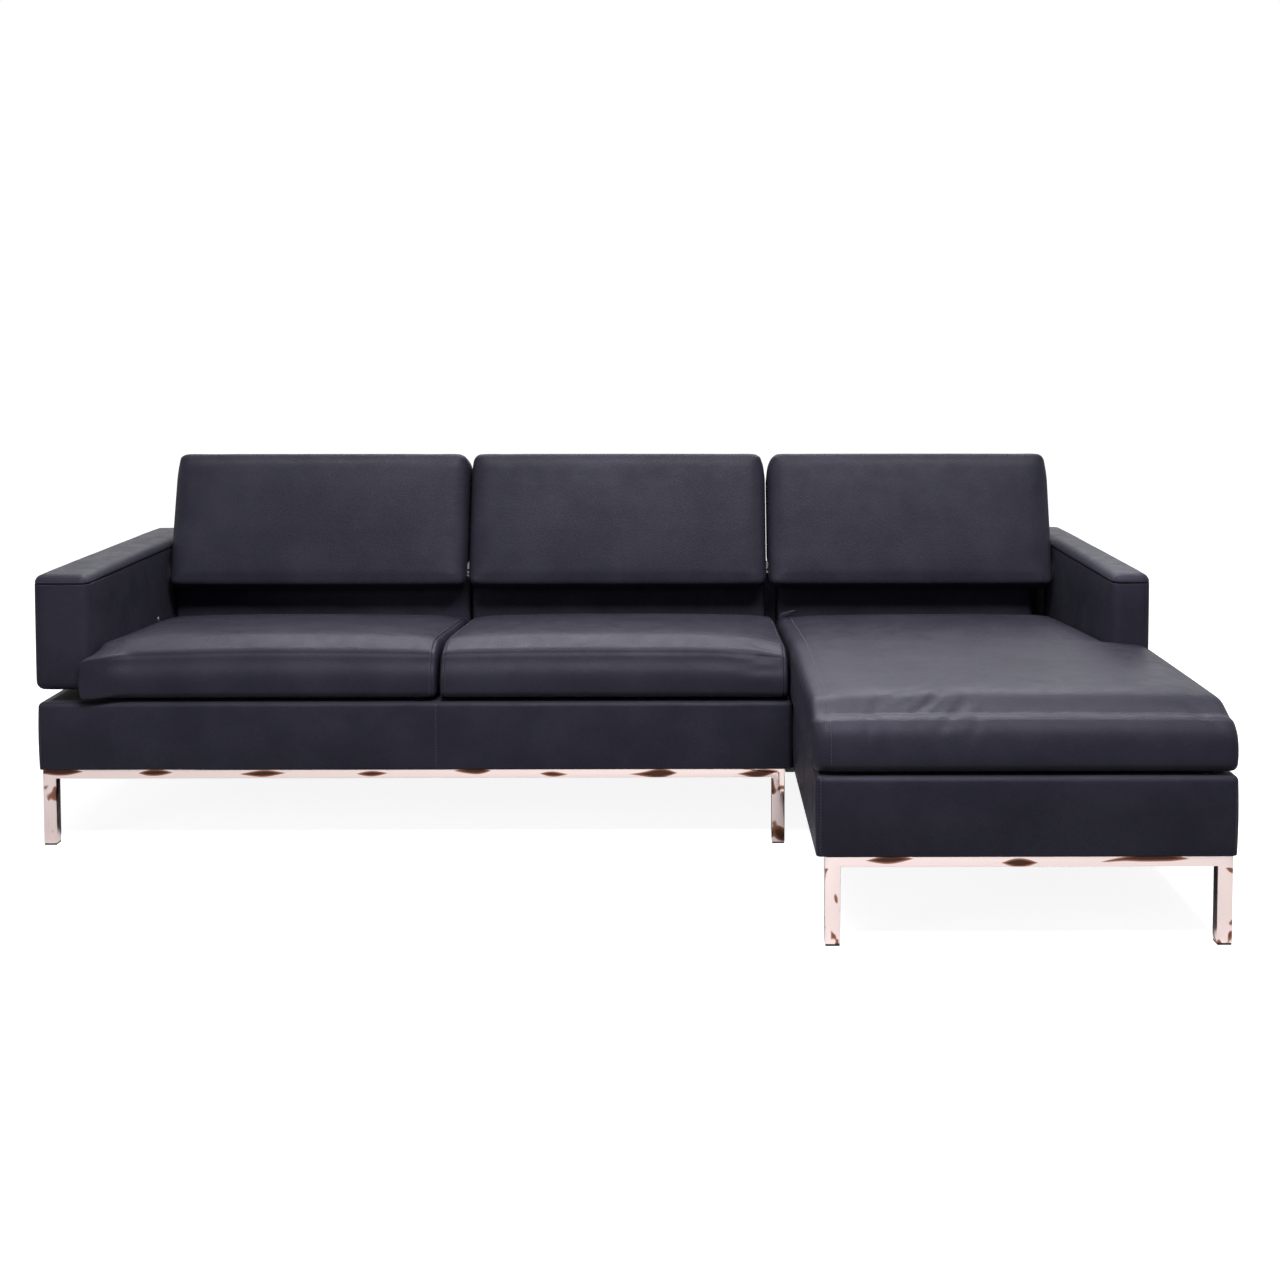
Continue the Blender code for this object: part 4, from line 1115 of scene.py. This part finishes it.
def press_band(piece, low, high, from_front):
    """The soft hollow along a cushion's front, where its top panel is joined to its front band."""
    shares = np.linspace(0, 1, 90)
    along = low.y + from_front
    run = low.x + 0.012 + (high.x - low.x - 0.024) * shares
    starts = [(across, along, high.z + PROBE_RISE) for across in run]
    path, _ = surface_path(piece, starts, [(across, along, low.z) for across in run])
    line = np.array(path)
    points = points_of(piece)
    normals = normals_of(piece)
    near = np.nonzero((points[:, 1] < line[:, 1].max() + BAND_WIDTH) & (points[:, 2] > low.z + 0.06))[0]
    away, marks = gaps_to(line, points[near])
    away = away / BAND_WIDTH
    ends = np.clip(np.minimum(shares, 1 - shares) / 0.05, 0, 1)[marks]
    uneven = 1 + 0.25 * ripple(points[near], 0.16, 51)
    hollow = (np.exp(-(away**2) * 2.2) - 0.25 * np.exp(-((away - 1.5) ** 2) * 2)) * ends * uneven
    points[near] -= normals[near] * (BAND_DEPTH * hollow)[:, None]
    set_points(piece, points)


def dress_seats(left, middle, chaise):
    """Subdivide, fold, sew and finish the seat cushions."""
    fit_seats(left, middle, chaise)
    seams = Seams("seat_seams", "sofa")
    for piece, node, from_front, folds, inset, sides in (
        (left, "left_seat_cushion", BAND_FROM_FRONT, LEFT_FOLDS, SEAM_INSET, (1,)),
        (middle, "middle_seat_cushion", BAND_FROM_FRONT, MIDDLE_FOLDS, SEAM_INSET, (-1, 1)),
        (chaise, "chaise_cushion", CHAISE_BAND_FROM_FRONT, CHAISE_FOLDS, CHAISE_SEAM_INSET, (-1,)),
    ):
        low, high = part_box(node)
        subdivide(piece)
        press_band(piece, low, high, from_front)
        for line in folds:
            fold(piece, *line)
        for side in sides:
            across = high.x - inset if side > 0 else low.x + inset
            path, normals = surface_path(piece, *slice_rays(across, low, high))
            seams.sew(piece, path, normals, rows=(SEAT_SEAM_SHIFT * side,), **SEAT_SEAM)
        finish_piece(piece, LEATHER, "leather", "sofa", node)
    seams.done()


def pad_seam_rays(side, pad):
    """Rays onto a pad's sides and top, near its rear, from one foot over the top to the other."""
    local = pad_local(side, points_of(pad))
    low = local.min(0)
    high = local.max(0)
    along = high[1] - PAD_SEAM_FROM_REAR
    radius = PAD_SEAM_RADIUS
    left = low[0] + radius
    right = high[0] - radius
    top = high[2] - radius
    heights = [low[2] + PAD_SEAM_FOOT + index * PAD_SEAM_STEP for index in range(100)]
    heights = [height for height in heights if height < top]
    turns = [math.pi / 2 * index / 12 for index in range(13)]
    count = int((high[0] - low[0] - 2 * radius) / PAD_SEAM_STEP)
    ways = [(left, height, -1, 0) for height in heights]
    ways += [(left, top, -math.cos(turn), math.sin(turn)) for turn in turns]
    ways += [(left + PAD_SEAM_STEP * index, top, 0, 1) for index in range(1, count + 1)]
    ways += [(right, top, math.cos(turn), math.sin(turn)) for turn in reversed(turns)]
    ways += [(right, height, 1, 0) for height in reversed(heights)]
    out = radius + RAY_START
    starts = np.array([(across + out * x, along, up + out * z) for across, up, x, z in ways])
    aims = np.array([(across, along, up) for across, up, _, _ in ways])
    return pad_local(side, starts, back=True), pad_local(side, aims, back=True)


def dress_pads(pads):
    """Finish the back pads, each with a seam round its rear edge."""
    for side, pad in pads.items():
        subdivide(pad)
        path, normals = surface_path(pad, *pad_seam_rays(side, pad))
        seams = Seams(f"{side}_pad_seams", f"{side}_pad")
        seams.sew(pad, path, normals, **PAD_SEAM)
        seams.done()
        finish_piece(pad, LEATHER, "leather", f"{side}_pad", f"{side}_back_pad")


def loop_at_height(low, high, radius, height):
    """Rays onto a box's sides, all round it at one height."""
    starts = []
    aims = []
    middle = Vector(((low.x + high.x) / 2, (low.y + high.y) / 2, height))
    core_x = (high.x - low.x) / 2 - radius
    core_y = (high.y - low.y) / 2 - radius
    turns = [math.pi / 2 * index / 8 for index in range(9)]
    for sign_x, sign_y in ((1, 1), (-1, 1), (-1, -1), (1, -1)):
        for turn in turns[:: sign_x * sign_y]:
            inner = middle + Vector((sign_x * core_x, sign_y * core_y, 0))
            away = Vector((sign_x * math.cos(turn), sign_y * math.sin(turn), 0))
            starts.append(tuple(inner + away * (radius + RAY_START)))
            aims.append(tuple(inner))
    return starts, aims


def straight_rays(low, high, first, last, count, rear=False):
    """Rays along Y onto the front or rear of a box, at even spots from the first to the last."""
    face, out = (high.y, RAY_START) if rear else (low.y, -RAY_START)
    spots = np.linspace(first, last, count)
    starts = [(across, face + out, up) for across, up in spots]
    aims = [(across, face - out, up) for across, up in spots]
    return starts, aims


def upright_seam(seams, piece, across, low, high):
    """A seam down the front of a piece."""
    rays = straight_rays(low, high, (across, high.z - 0.004), (across, low.z + 0.003), 24)
    seams.sew(piece, *surface_path(piece, *rays), **FRONT_SEAM)


def build_arm(side):
    """An arm cover: soft padded faces and a flat top panel, sewn in all round below the top edge."""
    node = f"{side}_arm_cover"
    low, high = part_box(node)
    seam_height = high.z - ARM_SEAM_DROP
    extra = ((), (), beside([seam_height], 0.003))
    piece = rounded_box(f"{side}_arm", low, high, ARM_RADIUS, ARM_SPACINGS, extra)
    points = points_of(piece)
    u, v, w = centred(points, low, high)
    crown_u, crown_v, crown_w = np.clip(1 - np.array([u**2, v**6, w**4]), 0, 1)
    uneven = ripple(points, 0.22, ARM_SEEDS[side])
    for axis, place, start, crown, size, change in (
        (2, w, 0.85, crown_u * crown_v, 0.0035, 0.0008),
        (0, u, 0.70, crown_w * crown_v, 0.0030, 0.0007),
        (1, v, 0.97, crown_u * crown_w, 0.0030, 0.0010),
    ):
        crown = crown * step(np.abs(place), start, 1) * (size + change * uneven)
        points[:, axis] += np.sign(place) * crown
    outward = -1 if side == "left" else 1
    points[:, 0] += outward * ARM_OUTER_FULLNESS * step(u * outward, 0, 1)
    set_points(piece, points)
    smooth(piece)
    path, normals = surface_path(piece, *loop_at_height(low, high, ARM_RADIUS, seam_height))
    seams = Seams(f"{side}_arm_seams", "sofa")
    seams.sew(piece, path + path[:1], normals + normals[:1], **ARM_SEAM)
    finish_piece(piece, LEATHER, "leather", "sofa", node)
    seams.done()


def build_base(unit, seam_places):
    """The leather round a base: a drawn shell with a soft top edge and upright seams on its front."""
    node = f"{unit}_base_cover"
    low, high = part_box(node)
    radius = BASE_RADIUS
    lines = (
        lines_between(low.x, high.x, radius, 0.011, beside(seam_places, 0.003)),
        lines_between(low.y, high.y, radius, 0.022),
        lines_between(low.z - 2 * radius, high.z, radius, 0.011),
    )
    piece = lattice_box(f"{unit}_base", lines, radius, open_below=True)
    points = points_of(piece)
    points[:, 2] = np.maximum(points[:, 2], low.z)
    share = np.clip((points[:, 2] - low.z) / (high.z - low.z), 0, 1)
    puff = (0.0034 + 0.0014 * ripple(points, 0.35, BASE_SEEDS[unit])) * np.sin(np.pi * share) ** 0.8
    out = (points > np.array(high) - 0.001).astype(float) - (points < np.array(low) + 0.001)
    points[:, 1] += puff * out[:, 1]
    points[:, 0] += puff * out[:, 0] * 0.6
    set_points(piece, points)
    shape = bmesh.new()
    shape.from_mesh(piece.data)
    bmesh.ops.remove_doubles(shape, verts=shape.verts, dist=0.00005)
    shape.to_mesh(piece.data)
    shape.free()
    smooth(modify(piece, "SOLIDIFY", thickness=BASE_LEATHER, offset=-1))
    seams = Seams(f"{unit}_base_seams", "sofa")
    for place in seam_places:
        upright_seam(seams, piece, place, low, high)
    for line in BASE_FOLDS[unit]:
        fold(piece, *line)
    finish_piece(piece, LEATHER, "leather", "sofa", node)
    piece.data.materials.append(LINING)
    edge = 0.022
    for face in piece.data.polygons:
        spot = face.center
        inside = low.x + edge < spot.x < high.x - edge and low.y + edge < spot.y < high.y - edge
        if inside and abs(face.normal.z) > 0.9 and spot.z > high.z - 0.01:
            face.material_index = 1
    seams.done()


def build_lower_panel(side):
    """An upholstered lower back panel with a soft crowned face and a seam at one end."""
    node = f"{side}_lower_back_panel"
    low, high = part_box(node)
    across = low.x + PANEL_SEAM_INSET if side == "right" else high.x - PANEL_SEAM_INSET
    extra = (beside([across], 0.002), (), ())
    piece = rounded_box(f"{side}_lower_back", low, high, PANEL_RADIUS, PANEL_SPACINGS, extra)
    points = points_of(piece)
    u, _, w = centred(points, low, high)
    front = 1 - step(points[:, 1], low.y, low.y + 0.02)
    crown = front * np.clip(1 - u**8, 0, 1) * np.clip(1 - w**4, 0, 1)
    points[:, 1] -= crown * (0.006 + 0.0015 * ripple(points, 0.12, 31))
    set_points(piece, points)
    smooth(piece)
    seams = Seams(f"{side}_lower_back_seams", "sofa")
    upright_seam(seams, piece, across, low, high)
    finish_piece(piece, LEATHER, "leather", "sofa", node)
    seams.done()


def build_back_cover(unit, seam_places):
    """The leather over the top and rear of a lower back: one drawn sheet with a soft rear top edge."""
    node = f"{unit}_back_cover"
    low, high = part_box(node)
    middle = (high.y - COVER_RADIUS, high.z - COVER_RADIUS)
    profile = [(low.y + (middle[0] - low.y) * index / 12, high.z, 0, 1) for index in range(12)]
    for index in range(7):
        away = (math.sin(math.pi / 2 * index / 6), math.cos(math.pi / 2 * index / 6))
        profile.append((middle[0] + COVER_RADIUS * away[0], middle[1] + COVER_RADIUS * away[1], *away))
    run = middle[1] - low.z
    count = int(run / 0.006)
    profile += [(high.y, low.z + run * (1 - index / count), 1, 0) for index in range(1, count + 1)]
    columns = lines_between(low.x, high.x, COVER_RADIUS, COVER_SPACING, beside(seam_places, 0.002))
    places = np.array([(across, along, up) for across in columns for along, up, _, _ in profile])
    facing = np.array([(0, away_y, away_z) for _ in columns for _, _, away_y, away_z in profile])
    inner = np.minimum(places, (math.inf, high.y - COVER_LEATHER, high.z - COVER_LEATHER))
    from_end = np.minimum(places[:, 0] - low.x, high.x - places[:, 0])
    round_end = 0.0018 * (1 - np.sqrt(1 - np.clip(1 - from_end / COVER_RADIUS, 0, 1) ** 2))
    share = np.clip((places[:, 2] - low.z) / (high.z - low.z), 0, 1)
    slack = np.sin(np.pi * share) * step(from_end, 0, 0.05) * step(facing[:, 1], 0.5, 1)
    puff = slack * (0.0016 + 0.0013 * ripple(places, 0.30, COVER_SEEDS[unit])) - round_end
    outer = places + facing * puff[:, None]
    shape = bmesh.new()
    rows = len(profile)
    sheets = [[shape.verts.new(point) for point in sheet] for sheet in (outer, inner)]
    for sheet in sheets:
        for column in range(len(columns) - 1):
            for row in range(rows - 1):
                here = column * rows + row
                corners = (here, here + rows, here + rows + 1, here + 1)
                shape.faces.new([sheet[corner] for corner in corners])
    last = (len(columns) - 1) * rows
    rim = list(range(rows))
    rim += [column * rows + rows - 1 for column in range(1, len(columns))]
    rim += [last + row for row in range(rows - 2, -1, -1)]
    rim += [column * rows for column in range(len(columns) - 2, 0, -1)]
    for here, ahead in zip(rim, rim[1:] + rim[:1]):
        shape.faces.new((sheets[0][here], sheets[0][ahead], sheets[1][ahead], sheets[1][here]))
    piece = smooth(from_bmesh(f"{unit}_rear_cover", shape))
    seams = Seams(f"{unit}_rear_seams", "sofa")
    level = high.z - COVER_SEAM_DROP
    rays = straight_rays(low, high, (low.x + 0.004, level), (high.x - 0.004, level), 160, rear=True)
    seams.sew(piece, *surface_path(piece, *rays), **COVER_SEAM)
    for across in seam_places:
        rays = straight_rays(low, high, (across, level - 0.006), (across, low.z + 0.003), 24, rear=True)
        seams.sew(piece, *surface_path(piece, *rays), **COVER_SPLIT_SEAM)
    finish_piece(piece, LEATHER, "leather", "sofa", node)
    seams.done()


def build_end_strip():
    """The rounded strip that closes the lower back beside the right arm, in a lighter copy of the leather that
    paints on the light it catches.
    """
    node = "chaise_back_end_post"
    low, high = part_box(node)
    radius = (high.y - low.y) * 0.45
    piece = rounded_box("back_end_strip", low, high, radius, (0.003, 0.003, 0.012))
    points = points_of(piece)
    share = (points[:, 0] - low.x) / (high.x - low.x)
    front = 1 - step(points[:, 1], low.y, low.y + radius)
    points[:, 1] -= front * STRIP_CROWN * np.sin(np.pi * share)
    set_points(piece, points)
    finish_piece(smooth(piece), PAINTED_LIGHT_LEATHER, "steel", "sofa", node)


def build_arm_pin():
    """The small domed pin on the left arm's inner face."""
    node = "left_arm_cap"
    low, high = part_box(node)
    middle = (low + high) / 2
    radius = (high.y - low.y) / 2
    shape = bmesh.new()
    rings = []
    for along, size in PIN_PROFILE:
        centre = Vector((low.x + (high.x - low.x) * along, middle.y, middle.z))
        turns = [math.tau * index / PIN_SIDES for index in range(PIN_SIDES)]
        around = [Vector((0, math.cos(turn), math.sin(turn))) * radius * size for turn in turns]
        rings.append([shape.verts.new(centre + away) for away in around])
    join_rings(shape, rings)
    finish_piece(smooth(from_bmesh("left_arm_pin", shape)), PIN, "black_plastic", "sofa", node)


def build_seat_tab(seat):
    """The pinched leather ear at the chaise cushion's rear corner."""
    low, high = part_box("chaise_cushion")
    tree = tree_of(seat)
    along = high.y - TAB_FROM_REAR
    shape = bmesh.new()
    rings = []
    for share in np.linspace(0, 1, 9):
        across = low.x + TAB_FROM_SIDE + TAB_LENGTH * share
        surface = height_at(tree, across, along, high.z + PROBE_RISE)
        centre = Vector((across, along, surface.z - 0.002 + TAB_RISE * share**0.8))
        width = TAB_WIDTH * (1 - share) ** 0.6 * min(1, 0.5 + 2 * share) + 0.0012
        ring = []
        for turn in range(TAB_SIDES):
            angle = math.tau * turn / TAB_SIDES
            wide = math.cos(angle) * width
            away = Vector((-0.5 * wide, math.sin(angle) * TAB_THICKNESS, wide))
            ring.append(shape.verts.new(centre + away))
        rings.append(ring)
    join_rings(shape, rings)
    finish_piece(subdivide(from_bmesh("chaise_seat_tab", shape)), LEATHER, "leather", "sofa")


def build_leg_frame(unit, end):
    """An inverted U of square tube with soft polished edges."""
    node = f"{unit}_{end}_leg_frame"
    low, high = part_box(node)
    side = TUBE_SIDE
    rail_low = high.z - RAIL_HEIGHT
    left = [(low.x, low.z), (low.x + side, low.z), (low.x + side, rail_low)]
    right = [(high.x - side, rail_low), (high.x - side, low.z), (high.x, low.z)]
    outline = [*left, *right, (high.x, high.z), (low.x, high.z)]
    shape = bmesh.new()
    join_rings(shape, [[shape.verts.new((x, y, z)) for x, z in outline] for y in (low.y, high.y)])
    piece = from_bmesh(f"{unit}_{end}_legs", shape)
    modify(piece, "BEVEL", width=TUBE_EDGE, segments=4, limit_method="ANGLE")
    finish_piece(smooth(piece), ROSE_GOLD, "rose_gold", "sofa", node)


dress_nodes()
seat_cushions, back_pads = build_seats()
dress_seats(*seat_cushions)
dress_pads(back_pads)
for arm_side in ("left", "right"):
    build_arm(arm_side)
seat_split = (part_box("left_seat_cushion")[1].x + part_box("middle_seat_cushion")[0].x) / 2
build_base("two_seat", (seat_split,))
build_base("chaise", (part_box("chaise_base_cover")[0].x + SEAM_INSET,))
for panel_side in SIDES:
    build_lower_panel(panel_side)
build_back_cover("two_seat", (seat_split,))
build_back_cover("chaise", ())
build_end_strip()
build_arm_pin()
build_seat_tab(seat_cushions[2])
for leg_unit in ("two_seat", "chaise"):
    for leg_end in ("front", "rear"):
        build_leg_frame(leg_unit, leg_end)


# ---- stage ----------------------------------------------------------------------------------------


def build_world():
    """Soft even light, with white behind everything that a ray can see directly or in a reflection."""
    world = bpy.data.worlds.new("studio")
    bpy.context.scene.world = world
    world.use_nodes = True
    world.node_tree.nodes.clear()
    graph = Graph(world.node_tree)
    rays = graph.add("ShaderNodeLightPath", {}).outputs
    seen = graph.math("MAXIMUM", rays["Is Camera Ray"], rays["Is Glossy Ray"])
    seen = graph.math("MAXIMUM", seen, rays["Is Transmission Ray"])
    white = graph.add("ShaderNodeBackground", {"Color": (1, 1, 1)}).outputs[0]
    inputs = {"Color": WORLD_COLOUR, "Strength": WORLD_LIGHT}
    light = graph.add("ShaderNodeBackground", inputs).outputs[0]
    mix = graph.add("ShaderNodeMixShader", {0: seen, 1: light, 2: white}).outputs[0]
    graph.add("ShaderNodeOutputWorld", {0: mix})


def grid_piece(name, columns, size):
    """A flat grid."""
    shape = bmesh.new()
    bmesh.ops.create_grid(shape, x_segments=columns, y_segments=2, size=size)
    return from_bmesh(name, shape)


def build_floor():
    """A white floor that keeps the sofa's soft shadow and is fully white further away."""
    floor = grid_piece("floor", 2, FLOOR_SIZE)
    floor.location = (0, 0, -FLOOR_DROP)
    material = bpy.data.materials.new("floor")
    material.use_nodes = True
    material.node_tree.nodes.clear()
    graph = Graph(material.node_tree)
    rays = graph.add("ShaderNodeLightPath", {}).outputs
    tone = graph.math("MULTIPLY_ADD", rays["Is Diffuse Ray"], -FLOOR_TONE_DROP, FLOOR_TONE)
    matte = graph.add("ShaderNodeBsdfDiffuse", {"Color": tone}).outputs[0]
    away = graph.add("ShaderNodeVectorMath", {0: graph.place}, operation="LENGTH").outputs["Value"]
    seen = graph.math("MAXIMUM", rays["Is Camera Ray"], rays["Is Transmission Ray"])
    strength = graph.math("MULTIPLY", seen, graph.spread(away, *FLOOR_FADE, *FLOOR_GLOW))
    glow = graph.add("ShaderNodeEmission", {"Color": (1, 1, 1), "Strength": strength}).outputs[0]
    both = graph.add("ShaderNodeAddShader", {0: matte, 1: glow}).outputs[0]
    graph.add("ShaderNodeOutputMaterial", {0: both})
    floor.data.materials.append(material)


def build_dark_screen():
    """A matt dark screen far behind the camera, seen only as a shade in glossy surfaces."""
    screen = grid_piece("dark_screen", 8, 1)
    across, up, _ = points_of(screen).T
    turn = across * SCREEN_TURN
    height = SCREEN_FOOT + SCREEN_HEIGHT * (up + 1) / 2
    side = SCREEN_RADIUS * np.sin(turn)
    set_points(screen, np.stack([side, -SCREEN_RADIUS * np.cos(turn), height], 1))
    material, shader, graph = new_material("dark_screen", (0.04, 0.04, 0.045), 0.9)
    base = graph.blend(graph.noise(30.0, 2.0), (0.035, 0.035, 0.04), (0.05, 0.05, 0.055))
    graph.fill(shader, {"Base Color": base})
    screen.data.materials.append(material)
    screen.visible_camera = False
    screen.visible_diffuse = False
    screen.visible_shadow = False


def add_lamp(name, place, target, size, power, only_glossy):
    """A soft rectangular lamp aimed at a point."""
    data = bpy.data.lights.new(name, "AREA")
    data.shape = "RECTANGLE"
    data.size, data.size_y = size
    data.energy = power
    data.color = LAMP_COLOUR
    made = bpy.data.objects.new(name, data)
    bpy.context.scene.collection.objects.link(made)
    made.location = place
    made.visible_camera = False
    made.visible_diffuse = not only_glossy
    made.rotation_euler = (Vector(target) - Vector(place)).to_track_quat("-Z", "Y").to_euler()


def build_camera():
    """The camera at the photograph's angle."""
    data = bpy.data.cameras.new("camera")
    data.lens = CAMERA_LENS
    data.sensor_width = CAMERA_SENSOR
    data.shift_x, data.shift_y = CAMERA_SHIFT
    camera = bpy.data.objects.new("camera", data)
    bpy.context.scene.collection.objects.link(camera)
    camera.location = CAMERA_PLACE
    camera.rotation_euler = (math.pi / 2 - CAMERA_DOWN, 0, -CAMERA_RIGHT)
    bpy.context.scene.camera = camera


build_world()
build_floor()
for lamp in LAMPS:
    add_lamp(*lamp)
build_dark_screen()
build_camera()
bpy.context.scene.view_settings.view_transform = "Standard"
